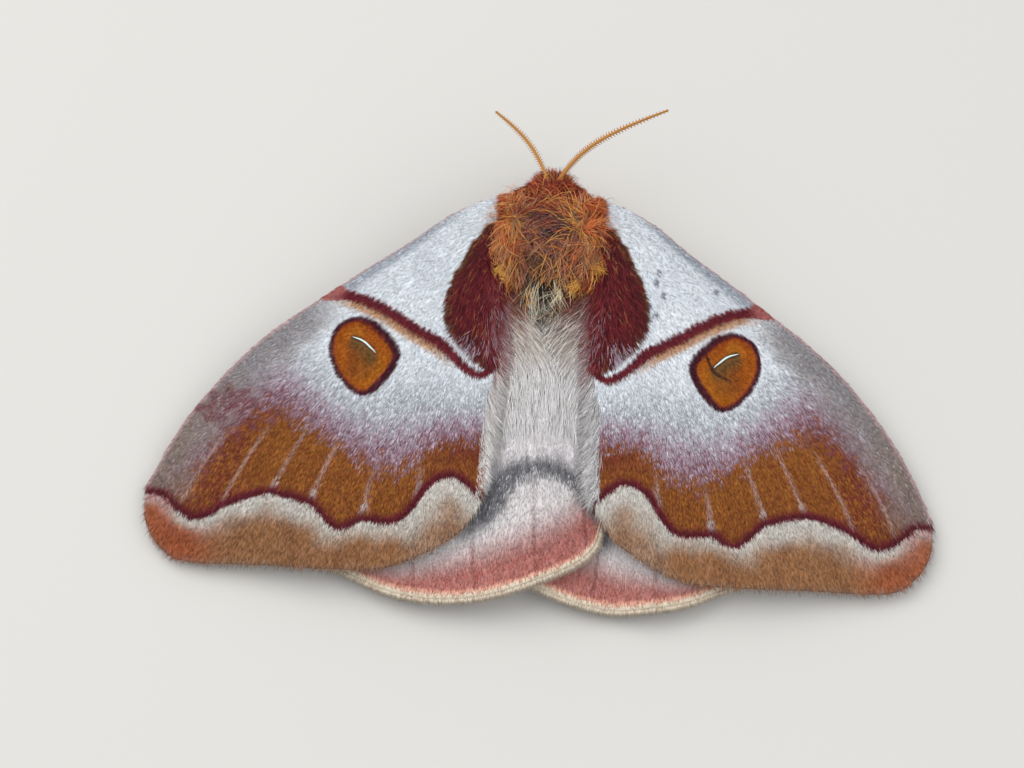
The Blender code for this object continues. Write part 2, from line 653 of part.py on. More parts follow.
def abdomen():
    stations = np.linspace(0, 1, ABDOMEN_RINGS)
    points, faces, sides = [], [], 16
    for share in stations:
        swell = math.sin(math.pi * min(1.0, 0.32 + 0.9 * share)) ** 0.5 if share < 1 else 0.0
        end = math.sqrt(max(0.0, 1 - max(0.0, (share - 0.55) / 0.45) ** 2.6))
        ripple = 1 - SEGMENT_DEPTH * abs(math.sin(math.pi * ABDOMEN_SEGMENTS * share)) ** 6 * end
        width = ABDOMEN_HALF_WIDTH * (0.86 + 0.14 * swell) * max(end, 0.2) * ripple
        high = ABDOMEN_TOP[0] + (ABDOMEN_TOP[1] - ABDOMEN_TOP[0]) * share ** 1.6
        tall = 0.5 * (high + ABDOMEN_SINK) * max(end, 0.25) * ripple
        centre = 0.5 * (high - ABDOMEN_SINK)
        y = ABDOMEN_FRONT - ABDOMEN_LENGTH * share
        for j in range(sides):
            turn = 2 * math.pi * (j + 0.5) / sides
            points.append((width * math.cos(turn), y, max(0.0, centre + tall * math.sin(turn))))
    for i in range(ABDOMEN_RINGS - 1):
        for j in range(sides):
            a, b = i * sides + j, i * sides + (j + 1) % sides
            faces += [(a, b, a + sides), (b, b + sides, a + sides)]
    first, last = len(points), len(points) + 1
    points.append(tuple(np.mean(points[:sides], axis=0)))
    points.append(tuple(np.mean(points[last - 1 - sides:last - 1], axis=0) + np.array([0, -0.5, 0])))
    start = (ABDOMEN_RINGS - 1) * sides
    for j in range(sides):
        after = (j + 1) % sides
        faces += [(first, after, j), (last, start + j, start + after)]
    mesh_object("abdomen", points, faces, "cream_fur")


def legs():
    for name, leg in LEGS.items():
        for suffix, side in (("l", -1), ("r", 1)):
            root = np.array([WING_ROOT_X, leg["root_y"], LEG_ROOT_Z])
            joints = [root, root + (1.2, 0.0, 0.1), leg["knee"], leg["ankle"], leg["toe"]]
            path = curve_through(joints)(np.linspace(0, 1, 13))
            path[:, 0] *= side
            tube(f"{name}_{suffix}", path, LEG_RADII, sides=6, across=(0.0, 0.35, 1.0), floor=0.0,
                 caps=(side, 0.0, 0.0)).data.materials.append(material("leg_fur"))


def centre_on_origin():
    """Moves every node so that the origin is at the bottom centre of the whole moth."""
    bpy.context.view_layer.update()
    corners = np.array([v.co for obj in bpy.context.scene.objects for v in obj.data.vertices])
    middle = (corners.min(axis=0) + corners.max(axis=0)) / 2
    shift = np.array([-middle[0], -middle[1], -corners[:, 2].min()])
    for obj in bpy.context.scene.objects:
        obj.location = shift


def main():
    clear_scene()
    random.seed(SEED)
    forewings()
    hindwings()
    thorax()
    head()
    antennae()
    abdomen()
    legs()
    centre_on_origin()


main()
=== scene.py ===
import math

import bmesh
import bpy
import numpy as np
from mathutils import Matrix, Vector


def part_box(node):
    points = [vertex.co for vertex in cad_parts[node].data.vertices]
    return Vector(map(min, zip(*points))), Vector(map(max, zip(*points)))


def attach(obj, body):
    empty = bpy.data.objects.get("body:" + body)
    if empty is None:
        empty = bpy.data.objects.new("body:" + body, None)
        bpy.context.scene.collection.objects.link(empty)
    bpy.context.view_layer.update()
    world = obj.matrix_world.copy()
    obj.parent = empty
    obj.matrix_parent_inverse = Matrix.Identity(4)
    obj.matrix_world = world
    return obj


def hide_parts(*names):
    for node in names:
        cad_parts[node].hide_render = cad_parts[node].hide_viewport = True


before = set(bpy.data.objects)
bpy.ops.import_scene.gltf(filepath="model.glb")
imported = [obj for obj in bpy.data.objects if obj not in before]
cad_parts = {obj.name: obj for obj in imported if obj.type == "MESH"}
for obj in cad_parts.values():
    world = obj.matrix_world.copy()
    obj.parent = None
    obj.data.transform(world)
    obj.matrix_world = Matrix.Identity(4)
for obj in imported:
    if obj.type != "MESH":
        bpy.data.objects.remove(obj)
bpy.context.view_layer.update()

# Camera: a compact camera held above and behind the resting moth, looking down at it past the tail.
# The moth is drawn in millimetres about a point between its wing roots, which the frame's abdomen gives.
# Its place follows from the photo: 85 mm lens, 64 degrees above the ground, a quarter of a metre away.
MM = 0.001
ORIGIN = Vector(((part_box("forewing_r")[1].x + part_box("forewing_l")[0].x) / 2,
                 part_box("abdomen")[1].y + 4.5 * MM, 0.0))
CAMERA_LENS = 85.0
CAMERA_TILT = math.radians(64.0)
CAMERA_TURN = math.radians(2.9)
CAMERA_AWAY = 243.0
AIM_POINT = Vector((0.0, 5.0, 8.5))
AIM_PIXEL = (552.5, 197.0)


def make_camera():
    level = math.cos(CAMERA_TILT)
    back = Vector((math.sin(CAMERA_TURN) * level, -math.cos(CAMERA_TURN) * level, math.sin(CAMERA_TILT)))
    right = Vector((math.cos(CAMERA_TURN), math.sin(CAMERA_TURN), 0.0))
    up = back.cross(right)
    pixels = CAMERA_LENS / 36 * 1024
    across = (AIM_PIXEL[0] - 512) / pixels * CAMERA_AWAY
    above = (384 - AIM_PIXEL[1]) / pixels * CAMERA_AWAY
    place = ORIGIN + (AIM_POINT - right * across - up * above + back * CAMERA_AWAY) * MM
    data = bpy.data.cameras.new("camera")
    data.lens = CAMERA_LENS
    data.sensor_width = 36.0
    data.clip_start = 0.01
    camera = bpy.data.objects.new("camera", data)
    camera.matrix_world = Matrix.Translation(place) @ Matrix((right, up, back)).transposed().to_4x4()
    bpy.context.scene.collection.objects.link(camera)
    bpy.context.scene.camera = camera


make_camera()

# Floor and light: a plain pale floor under an overcast sky, as soft as the photo's open shade.
# The floor is a matte sheet; two large lamps and a pale world light the moth almost evenly.
# They are stage only and aren't part of the moth.
FLOOR_HALF = 0.5
FLOOR_COLOUR = (0.62, 0.60, 0.57)
WORLD_STRENGTH = 0.63
LAMPS = (("sky_left", (-0.25, 0.12, 0.42), 0.5, 1.9), ("sky_right", (0.30, -0.20, 0.45), 0.5, 1.1))


def make_stage():
    mesh = bpy.data.meshes.new("floor")
    h = FLOOR_HALF
    mesh.from_pydata([(-h, -h, 0), (h, -h, 0), (h, h, 0), (-h, h, 0)], [], [(0, 1, 2, 3)])
    floor = bpy.data.objects.new("floor", mesh)
    material = bpy.data.materials.new("floor")
    material.use_nodes = True
    shader = material.node_tree.nodes["Principled BSDF"]
    shader.inputs["Base Color"].default_value = (*FLOOR_COLOUR, 1)
    shader.inputs["Roughness"].default_value = 0.9
    mesh.materials.append(material)
    bpy.context.scene.collection.objects.link(floor)
    for name, place, size, power in LAMPS:
        data = bpy.data.lights.new(name, "AREA")
        data.size = size
        data.energy = power
        data.color = (1.0, 0.985, 0.96)
        lamp = bpy.data.objects.new(name, data)
        lamp.location = place
        lamp.rotation_euler = (-Vector(place)).to_track_quat("-Z", "Y").to_euler()
        bpy.context.scene.collection.objects.link(lamp)
    world = bpy.data.worlds.new("sky")
    world.use_nodes = True
    sky = world.node_tree.nodes["Background"]
    sky.inputs["Color"].default_value = (0.90, 0.95, 1.0, 1)
    sky.inputs["Strength"].default_value = WORLD_STRENGTH
    bpy.context.scene.world = world
    bpy.context.scene.view_settings.view_transform = "Standard"


make_stage()

# Forewings: a stiff membrane on branching veins, covered in flat scales and short hair.
# Each is a closed sheet on the curved roof of the resting wings, with its veins standing up on top.
# Colours are painted on the wing's own plan, in millimetres from the body's middle.
ROOF_TOP = 9.0
ROOF_SIDE_FALL = 0.115
ROOF_REAR_FALL = 0.10
ROOF_DROOP = 0.008
ROOF_DROOP_FROM = -26.0
FORE_COSTA = [(4.5, 4.6), (9.7, 3.0), (13.7, 0.6), (21.3, -4.6), (28.7, -10.3), (34.5, -17.4),
              (38.6, -25.7)]
FORE_TERMEN = [(38.6, -25.7), (38.2, -29.4), (36.7, -31.9), (34.3, -33.4), (28.5, -33.8), (19.6, -34.3),
               (13.8, -34.0), (8.5, -31.5), (6.0, -28.9), (5.2, -26.6)]
FORE_INNER = [(4.5, -2.4), (4.5, -9.0), (4.9, -16.0), (5.1, -22.0), (5.2, -26.6)]
CELL_END = 0.45
FORE_VEINS = [(0.07, 0.09, 0.07, 0.0), (0.19, 0.175, 0.165, 0.0), (0.31, 0.28, 0.26, CELL_END),
              (0.43, 0.39, 0.37, CELL_END), (0.55, 0.495, 0.485, CELL_END), (0.67, 0.61, 0.64, 0.0),
              (0.80, 0.74, 0.78, 0.30), (0.93, 0.91, 0.92, 0.0)]
STREAKS_FROM = (0.78, 0.74, 0.72, 0.74, 0.80, 0.78)
VEIN_RISE = 0.13
VEIN_HALF_WIDTH = 0.22
SHEET = 0.26
FORE_UNDERSIDE = (188, 168, 160)
FORE_GRID, FORE_GRID_QUICK = (150, 110), (90, 60)
FORE_REACH = 0.992
BASAL_POINTS = [(3.4, 2.6), (5.8, 1.4), (7.3, -0.4), (8.55, -2.9), (9.7, -5.9), (9.9, -8.5), (9.0, -10.9),
                (7.8, -12.2), (6.5, -13.4), (5.1, -13.9), (3.4, -12.4)]
ANTEMEDIAN = [(22.6, -4.2), (20.8, -5.6), (19.2, -6.3), (17.0, -7.5), (15.1, -8.6), (13.3, -9.9),
              (11.8, -10.8), (10.2, -11.8), (8.6, -13.3), (7.2, -14.5), (5.9, -14.8), (5.0, -13.8),
              (4.6, -12.4)]
EYE_RIM = [(18.15, -9.0), (20.25, -9.55), (21.1, -11.9), (20.1, -14.85), (17.65, -17.05), (15.6, -15.5),
           (14.45, -12.9), (16.05, -10.45)]
EYE_SLIT = [(18.95, -11.0), (17.8, -11.5), (16.55, -12.75)]
EYE_WEAR = [(15.5, -10.7), (16.1, -12.3), (16.6, -13.2), (18.1, -14.0)]
RUBBED_MARKS = [(10.95, -3.2), (10.7, -4.3), (11.5, -5.6), (10.0, -6.9), (10.7, -7.8), (16.7, -4.3)]
WAVY = [(38.6, -26.1), (38.0, -26.2), (36.5, -26.6), (35.2, -27.9), (33.4, -29.1), (31.9, -28.95),
        (30.2, -28.0), (28.3, -27.3), (26.4, -26.85), (24.8, -27.0), (23.1, -27.5), (21.6, -28.1),
        (20.4, -29.3), (19.2, -30.25), (18.1, -30.1), (17.0, -29.5), (15.9, -29.5), (14.4, -29.7),
        (13.0, -29.3), (11.8, -28.0), (10.7, -26.3), (9.5, -25.35), (8.1, -25.1), (6.8, -25.9),
        (5.2, -27.4)]
ORANGE_FROM = [(4.5, -22.4), (6.4, -22.4), (9.6, -22.5), (12.4, -25.2), (15.3, -25.6), (18.8, -23.6),
               (22.3, -21.4), (25.8, -20.1), (28.2, -20.9), (30.8, -22.9), (33.7, -26.4), (38.5, -27.5)]
SPECKLE_FROM = [(4.5, -18.8), (6.2, -18.8), (10.1, -19.0), (14.0, -19.8), (18.0, -19.3), (21.4, -17.0),
                (25.5, -13.4), (28.2, -13.0), (31.1, -15.5), (34.2, -19.6), (38.0, -24.0)]
CREAM_REACH = {"l": ((9, 1.1), (13, 0.1), (18, -0.45), (25, 0.65), (30.5, 0.3), (35, 0.0)),
               "r": ((9, 1.0), (13, -0.3), (18, -0.6), (25, 0.9), (30.5, 0.45), (35, 0.2))}
COLOURS = {"white": (226, 230, 235), "shade": (158, 164, 176), "grey": (96, 92, 102),
           "mauve": (166, 138, 154), "crimson": (108, 28, 40), "dark": (66, 18, 32),
           "orange": (146, 84, 30), "ochre": (166, 110, 46), "amber": (158, 80, 2), "olive": (96, 84, 40),
           "cream": (201, 194, 184), "tan": (156, 101, 50), "salmon": (170, 88, 54),
           "pink": (180, 108, 112), "taupe": (140, 122, 112), "slit": (206, 226, 220),
           "umber": (50, 26, 22), "brown": (98, 50, 26), "blush": (196, 162, 164)}


def linear(name):
    share = np.array(COLOURS[name] if isinstance(name, str) else name) / 255.0
    return np.where(share <= 0.04045, share / 12.92, ((share + 0.055) / 1.055) ** 2.4)


def ease(low, high, value):
    """A share that leaves 0 at low and reaches 1 at high, gently at both ends."""
    share = np.clip((value - low) / (high - low), 0.0, 1.0)
    return share * share * (3 - 2 * share)


def curve_points(points, samples=24):
    """Points close together on the smooth curve through the given ones."""
    p = np.array(points, float)
    ends = np.vstack([2 * p[0] - p[1], p, 2 * p[-1] - p[-2]])
    t = np.linspace(0, 1, samples, endpoint=False)[:, None]
    runs = []
    for a, b, c, d in zip(ends, ends[1:], ends[2:], ends[3:]):
        runs.append(b + 0.5 * t * (c - a + t * (2 * a - 5 * b + 4 * c - d + t * (3 * (b - c) + d - a))))
    return np.vstack([*runs, p[-1:]])


def curve_through(points):
    dense = curve_points(points)
    length = np.concatenate([[0.0], np.cumsum(np.linalg.norm(np.diff(dense, axis=0), axis=1))])

    def at(share):
        where = np.asarray(share, float) * length[-1]
        return np.stack([np.interp(where, length, dense[:, k]) for k in range(dense.shape[1])], axis=-1)

    return at


def coons(costa, termen, inner):
    """The wing's plan: a patch between its edges, from share across q and share along s."""
    leading, outer, trailing = curve_through(costa), curve_through(termen), curve_through(inner)
    start, tip, heel, corner = [np.array(p, float) for p in (costa[0], costa[-1], inner[0], inner[-1])]

    def plan(q, s):
        q, s = np.broadcast_arrays(np.asarray(q, float), np.asarray(s, float))
        u, v = q[..., None], s[..., None]
        root = start + u * (heel - start)
        ruled = (1 - u) * leading(s) + u * trailing(s) + (1 - v) * root + v * outer(q)
        return ruled - ((1 - u) * ((1 - v) * start + v * tip) + u * ((1 - v) * heel + v * corner))

    return plan


def vein_share(vein, s):
    root, cell, edge, _ = vein
    t, b = np.asarray(s, float), CELL_END
    return root * (t - b) * (t - 1) / b + cell * t * (t - 1) / (b * (b - 1)) + edge * t * (t - b) / (1 - b)


def vein_ridges(veins, q, s, chord):
    """How far the veins stand up here, each a rounded ridge that thins towards the wing's edge."""
    rise = np.zeros(np.broadcast(q, s).shape)
    for vein in veins:
        across = (q - vein_share(vein, s)) * chord / VEIN_HALF_WIDTH
        there = ease(vein[3] - 0.04, vein[3] + 0.02, s) * (1 - 0.5 * s)
        rise = np.maximum(rise, np.exp(-across ** 2) * there)
    return rise * VEIN_RISE


def roof(x, y):
    out = np.sqrt(x * x + 4.0) - 5.0
    behind = np.minimum(y - ROOF_DROOP_FROM, 0.0)
    return ROOF_TOP - ROOF_SIDE_FALL * out + ROOF_REAR_FALL * y - ROOF_DROOP * behind * behind


def fore_height(x, y, q, s):
    camber = 0.9 * np.sin(math.pi * np.clip(q, 0, 1)) * np.sin(math.pi * np.clip(s, 0, 1)) ** 0.8
    roll = 1.8 * np.clip(1 - q / 0.24, 0, 1) ** 2
    roll = roll * ease(0.0, 0.25, s) * (1 - 0.5 * ease(0.75, 1.0, s))
    return roof(x, y) + camber - roll - 0.5 * ease(0.85, 1.0, s) * ease(24.0, 31.0, x)


def ring_points(points, samples=6):
    """Points close together on the smooth closed curve through the given ones."""
    p = np.array(points, float)
    around = np.vstack([p[-2:], p, p[:3]])
    dense = curve_points(around, samples)
    return dense[2 * samples: (2 + len(p)) * samples + 1]


def away_from(dense, x, y):
    """Distance from a line of points, and the share of its length at the nearest point."""
    a, b = dense[:-1], dense[1:]
    best, where = np.full(x.shape, 1e9), np.zeros(x.shape)
    for i, (p, q) in enumerate(zip(a, b)):
        way = q - p
        t = np.clip(((x - p[0]) * way[0] + (y - p[1]) * way[1]) / max(way @ way, 1e-9), 0, 1)
        d = np.hypot(x - p[0] - t * way[0], y - p[1] - t * way[1])
        near = d < best
        best, where = np.where(near, d, best), np.where(near, (i + t) / len(a), where)
    return best, where


def inside(dense, x, y):
    odd = np.zeros(x.shape, bool)
    for p, q in zip(dense[:-1], dense[1:]):
        crosses = (p[1] > y) != (q[1] > y)
        level = p[0] + (y - p[1]) * (q[0] - p[0]) / (q[1] - p[1] if q[1] != p[1] else 1e-9)
        odd ^= crosses & (x < level)
    return odd


def line_at(line, x):
    dense = curve_points(line, 8)
    order = np.argsort(dense[:, 0])
    return np.interp(x, dense[order, 0], dense[order, 1])


def wander(x, y, seed, size=1.0):
    """Smooth uneven values from -1 to 1 over the plan, from a few crossed waves."""
    draw = np.random.default_rng(seed)
    total = np.zeros(x.shape)
    for _ in range(7):
        turn, step, start = draw.uniform(0, 2 * math.pi), draw.uniform(0.6, 1.6) / size, draw.uniform(0, 9)
        total += np.sin((x * math.cos(turn) + y * math.sin(turn)) * step * 2 + start)
    return total / 3.2


def mix(base, colour, share):
    share = np.clip(np.asarray(share, float), 0, 1)[:, None]
    return base * (1 - share) + linear(colour) * share


def layered(base, *layers):
    """Mixes colours over the base one after the other, each with its own share."""
    for colour, share in layers:
        base = mix(base, colour, share)
    return base


def even(colour, count):
    return np.tile(linear(colour), (count, 1))


def uneven(colours, low, high, draw):
    """Makes each hair a little lighter or darker than the next."""
    return np.clip(colours * draw.uniform(low, high, len(colours))[:, None], 0, 1)


def dyed(colours, draw, *dyes):
    """Mixes colours into some of the hairs, each with its chance and its share."""
    for colour, chance, share in dyes:
        colours = mix(colours, colour, (draw.random(len(colours)) < chance) * share)
    return colours


def fewer(count):
    return count // 1


def paint_fore(x, y, q, s, draw, right):
    """Colour of the forewing's scales at each point of its plan."""
    grain = draw.random(x.shape)
    grain2 = draw.random(x.shape)
    colour = even("white", len(x))
    far = ease(-6.0, -15.0, y + 0.2 * x)
    colour = mix(colour, "shade", (0.06 + 0.16 * far) * grain2 + 0.06 * wander(x, y, 3, 1.6))
    specks = ease(0.93, 0.97, grain) * (0.35 + 0.25 * wander(x, y, 5, 2.0))
    colour = layered(colour, ("grey", specks), ("shade", 0.14 * ease(-9.0, -5.0, y)))
    line_y = line_at(ORANGE_FROM, x)
    speckle_y = line_at(SPECKLE_FROM, x)
    level = (y - line_y) / np.maximum(speckle_y - line_y, 0.8) + 0.10 * wander(x, y, 8, 0.5)
    beyond = y < line_at(ANTEMEDIAN[:10], np.clip(x, 7, 23)) - 1.0
    colour = layered(colour,
        ("grey", beyond * 0.55 * ease(2.3, 1.0, level) * (grain < 0.55) * ease(0, .5, level)),
        ("mauve", 0.85 * ease(1.35, 0.45, level) * ((grain2 < 0.9) | (level < 0.5))))
    red = 0.62 * ease(1.05, 0.10, level)
    colour = mix(colour, "crimson", 0.66 * (grain < red) * (level < 1.05))
    rosy = ease(23.0, 27.0, x) * ease(35.0, 32.0, x) * ease(1.0, 0.2, level)
    colour = mix(colour, "crimson", 0.7 * rosy * (grain2 > 0.55))
    gold = ease(0.50, -0.12, level)
    colour = mix(colour, "orange", np.where(grain2 < gold, 1.0, 0.0))
    inner_gold = gold * (grain2 < gold)
    colour = layered(colour,
        ("ochre", 0.5 * inner_gold * (grain < 0.35)),
        ("brown", 0.65 * inner_gold * (grain > 0.78)))
    near_body = ease(13.0, 7.0, x) * ease(-0.9, 0.0, level) * inner_gold
    colour = layered(colour,
        ("crimson", 0.8 * near_body * (grain < 0.65)),
        ("crimson", 0.6 * inner_gold * (grain > 0.5) * (grain < 0.62)))
    tips = ease(26.5, 30.5, x) * ease(0.5, 0.0, level) * ease(36, 32, x)
    colour = mix(colour, "crimson", 0.6 * tips * (grain > 0.4))
    costal = ease(0.21, 0.07, q + 0.02 * wander(x, y, 12, 1.0)) * ease(0.38, 0.5, s)
    colour = layered(colour,
        ("taupe", 0.92 * costal * (grain2 < 0.975)),
        ("shade", 0.6 * costal * ease(0.85, 0.6, s) * (grain < 0.7)))
    edge = ease(0.13, 0.05, q) * ease(0.05, 0.2, s) * ease(0.42, 0.36, s)
    colour = layered(colour,
        ("shade", 0.85 * edge * (grain < 0.8)),
        ("grey", 0.35 * edge * (grain2 < 0.3)),
        ("blush", 0.8 * ease(0.022, 0.008, q) * ease(0.05, 0.1, s)))
    for vein, start in zip(FORE_VEINS[1:7], STREAKS_FROM):
        chord = np.hypot(x - 4.0, y - 2.0)
        near = np.abs(q - vein_share(vein, s)) * np.maximum(chord * 0.85, 4)
        streak = ease(0.25, 0.05, near) * ease(start - 0.06, start, s)
        colour = mix(colour, (196, 166, 158), 0.55 * streak * (grain < 0.85) * (level < 0.5))
        spot = ease(0.42, 0.10, near) * ease(1.7, 1.0, y - line_at(WAVY, x)) * ease(27.0, 24.0, x)
        colour = mix(colour, "white", 0.5 * spot * (grain < 0.6) * (level < 0.5))

    wavy, _ = away_from(WAVY_LINE, x, y)
    out = (y < line_at(WAVY, x)) & (s > 0.7)
    cream = np.clip(wavy, 0, 9)
    band = even("cream", len(x))
    band = mix(band, "white", 0.25 * (grain < 0.4))
    reach = np.interp(x, *zip(*(CREAM_REACH["r"] if right else CREAM_REACH["l"])))
    depth = cream + 0.35 * wander(x, y, 21, 1.0) - reach
    most = (0.95 - 0.22 * ease(14.0, 10.0, x)) * (0.92 + 0.08 * grain)
    # The brown share below is painted shade: the band darkens away from the wavy line as it curves down to
    # the margin, and more on the left wing, which lay in more shadow.
    band = layered(band,
        ("tan", ease(0.3, 2.7, depth) * most),
        ("salmon", (0.75 if right else 0.88) * ease(29.0, 34.5, x) * ease(0.5, 1.7, cream)),
        ("ochre", 0.25 * ease(12.0, 8.0, x) * ease(1.2, 2.4, cream)),
        ("brown", (0.02 if right else 0.08) * ease(1.0, 2.4, cream)))
    # Brown streaks across the band, running towards the margin: painted shade of the membrane's gentle folds
    # between the veins.
    painted_pleat_shade = np.sin(44.0 * q + 1.5 * wander(x, y, 30, 2.0))
    band = layered(band,
        ("brown", 0.26 * ease(0.5, 1.0, painted_pleat_shade) * ease(1.2, 2.6, cream) * (grain < 0.8)),
        ("pink", 0.8 * ease(34.5, 36.5, x) * ease(1.6, 0.3, cream) * (grain < 0.8)))
    colour = np.where(out[:, None], band, colour)
    colour = layered(colour,
        ("crimson", ease(0.95, 0.25, wavy) * ~out * (grain < 0.7)),
        ("crimson", ease(0.38, 0.22, wavy)),
        ("dark", 0.50 * ease(0.28, 0.12, wavy + 0.05 * wander(x, y, 40, 0.3))))
    margin = ease(0.985, 0.998, s)
    colour = mix(colour, "taupe", 0.6 * margin)

    patch = inside(BASAL_RING, x, y)
    rim, _ = away_from(BASAL_RING, x, y)
    rim = np.where(patch, rim, -rim) + 0.3 * wander(x, y, 50, 0.5)
    fur = ease(-0.35, 0.25, rim)
    wool = even("crimson", len(x))
    wool = layered(wool,
        ("dark", 0.55 * (grain < 0.35)),
        ("brown", 0.6 * (grain2 < 0.85) * ease(0.9, 0.2, rim)),
        ((122, 92, 48), 0.6 * (grain < 0.8) * ease(0.30, -0.05, rim)))
    low = ease(-9.0, -12.4, y)
    wool = mix(wool, "mauve", 0.85 * low * (grain2 < 0.55) * ease(5.9, 6.8, x))
    colour = colour * (1 - fur[:, None]) + wool * fur[:, None]
    hinge = ease(5.6, 5.05, x + 0.25 * wander(x, y, 95, 0.4) + 0.35 * ease(1.0, 3.5, y))
    hinge = hinge * ease(-2.5, 0.0, y)
    colour = mix(colour, (160, 70, 44), hinge * (0.75 + 0.25 * grain))

    ante, where = away_from(ANTEMEDIAN_LINE, x, y)
    before_line = y > line_at(ANTEMEDIAN[:10], np.clip(x, 7, 22))
    half = 0.52 + 0.75 * ease(0.16, 0.02, where) - 0.16 * ease(0.55, 0.8, where)
    half = half + (0.13 * wander(x, y, 60, 0.25) + 0.12 * (grain - 0.5)) * before_line
    glow = ease(half + 1.05, half + 0.55, ante) * ~before_line * ease(0.06, 0.2, where)
    colour = mix(colour, (184, 122, 46), 0.82 * glow * ease(0.72, 0.55, where) * (grain < 0.95))
    seam = ease(half + 0.34, half, ante) * ~before_line * (where > 0.12) * (where < 0.82)
    colour = mix(colour, "brown", 0.7 * seam)
    stain = ease(half + 0.10, half - 0.06, ante)
    colour = layered(colour,
        ("crimson", stain * (1 - 0.35 * ease(0.12, 0.02, where))),
        ("dark", 0.55 * ease(half * 0.9, 0.1, ante) * ease(0.1, 0.2, where) * before_line),
        ((180, 102, 96), 0.85 * stain * ease(0.15, 0.06, where) * (grain2 < 0.9)))
    if right:
        for mark_x, mark_y in RUBBED_MARKS:
            mark = ease(1.15, 0.6, np.hypot((x - mark_x) / 0.34, (y - mark_y) / 0.46))
            colour = mix(colour, (74, 80, 96), 0.75 * mark * (grain < 0.8))
    else:
        blotch = ease(1.25, 0.35, np.hypot((x - 31.3) / 3.6, (y + 17.4) / 2.4) + 0.3 * wander(x, y, 90, 0.7))
        colour = mix(colour, (118, 54, 64), 0.85 * blotch * (grain < 0.7))

    eye = inside(EYE_RING, x, y)
    ring, _ = away_from(EYE_RING, x, y)
    disc = even("amber", len(x))
    disc = layered(disc,
        ("orange", 0.25 * grain2),
        ((140, 56, 0), 0.6 * ease(-11.2, -9.7, y + 0.25 * (18.5 - x))),
        ((170, 104, 8), 0.55 * ease(2.8, 0.8, np.hypot(x - 16.8, y + 14.6))),
        ((176, 112, 24), 0.5 * ease(1.3, 0.4, np.hypot(x - 18.6, y + 10.6))))
    slit, _ = away_from(SLIT_LINE, x, y)
    below = ease(0.1, -0.3, y - line_at(EYE_SLIT, x))
    below = below * ease(15.9, 16.9, x) * ease(19.7, 18.8, x)
    disc = layered(disc,
        ("olive", 0.85 * ease(1.9, 0.6, slit) * below),
        ("brown", 0.45 * ease(3.2, 1.8, np.hypot(x - 18.2, y + 13.0)) * below),
        ("umber", 0.8 * ease(0.26, 0.14, slit)))
    if right:
        wear, _ = away_from(WEAR_LINE, x, y)
        disc = mix(disc, "umber", 0.9 * ease(0.18, 0.10, wear))
    colour = np.where(eye[:, None], disc, colour)
    thick = 0.19 + 0.14 * ease(18.6, 16.2, x) + 0.04 * wander(x, y, 70, 0.3)
    colour = layered(colour,
        ("crimson", 0.8 * ease(thick + 0.25, thick + 0.05, ring) * eye),
        ("dark", ease(thick + 0.10, thick - 0.08, ring)))
    return np.clip(colour, 0, 1)


def mesh_piece(name, points, faces, colours, material, slot, replaced=()):
    """A mesh in the frame from points in millimetres, with one colour for each point."""
    mesh = bpy.data.meshes.new(name)
    points = np.asarray(points, float) * MM + np.array(ORIGIN)
    mesh.vertices.add(len(points))
    mesh.vertices.foreach_set("co", points.astype(np.float32).ravel())
    faces = np.asarray(faces, np.int32)
    mesh.loops.add(faces.size)
    mesh.loops.foreach_set("vertex_index", faces.ravel())
    mesh.polygons.add(len(faces))
    mesh.polygons.foreach_set("loop_start", np.arange(0, faces.size, faces.shape[1], dtype=np.int32))
    mesh.polygons.foreach_set("use_smooth", np.ones(len(faces), bool))
    mesh.update(calc_edges=True)
    if colours is not None:
        layer = mesh.color_attributes.new("Col", "FLOAT_COLOR", "POINT")
        rgba = np.column_stack([colours, np.ones(len(points))]).astype(np.float32)
        layer.data.foreach_set("color", rgba.ravel())
    mesh.materials.append(material)
    obj = bpy.data.objects.new(name, mesh)
    bpy.context.scene.collection.objects.link(obj)
    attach(obj, "root")
    if replaced:
        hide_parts(*replaced)
    return obj


def painted_material(name, roughness, bump=0.0, grain=6000.0, detail=0.12):
    """A matte surface that takes its colour from the mesh, with fine procedural grain and bump."""
    material = bpy.data.materials.new(name)
    material.use_nodes = True
    tree = material.node_tree
    shader = tree.nodes["Principled BSDF"]
    shader.inputs["Roughness"].default_value = roughness
    shader.inputs["Specular IOR Level"].default_value = 0.25
    colour = tree.nodes.new("ShaderNodeVertexColor")
    colour.layer_name = "Col"
    place = tree.nodes.new("ShaderNodeTexCoord")
    noise = tree.nodes.new("ShaderNodeTexNoise")
    noise.inputs["Scale"].default_value = grain
    noise.inputs["Detail"].default_value = 3.0
    tree.links.new(place.outputs["Object"], noise.inputs["Vector"])
    spread = tree.nodes.new("ShaderNodeMapRange")
    spread.inputs["From Min"].default_value = 0.3
    spread.inputs["From Max"].default_value = 0.7
    spread.inputs["To Min"].default_value = 1.0 - detail
    spread.inputs["To Max"].default_value = 1.0 + detail
    tree.links.new(noise.outputs["Fac"], spread.inputs["Value"])
    shade = tree.nodes.new("ShaderNodeVectorMath")
    shade.operation = "SCALE"
    tree.links.new(colour.outputs["Color"], shade.inputs[0])
    tree.links.new(spread.outputs["Result"], shade.inputs["Scale"])
    tree.links.new(shade.outputs["Vector"], shader.inputs["Base Color"])
    if bump:
        relief = tree.nodes.new("ShaderNodeBump")
        relief.inputs["Strength"].default_value = bump
        relief.inputs["Distance"].default_value = 0.00005
        tree.links.new(noise.outputs["Fac"], relief.inputs["Height"])
        tree.links.new(relief.outputs["Normal"], shader.inputs["Normal"])
    return material


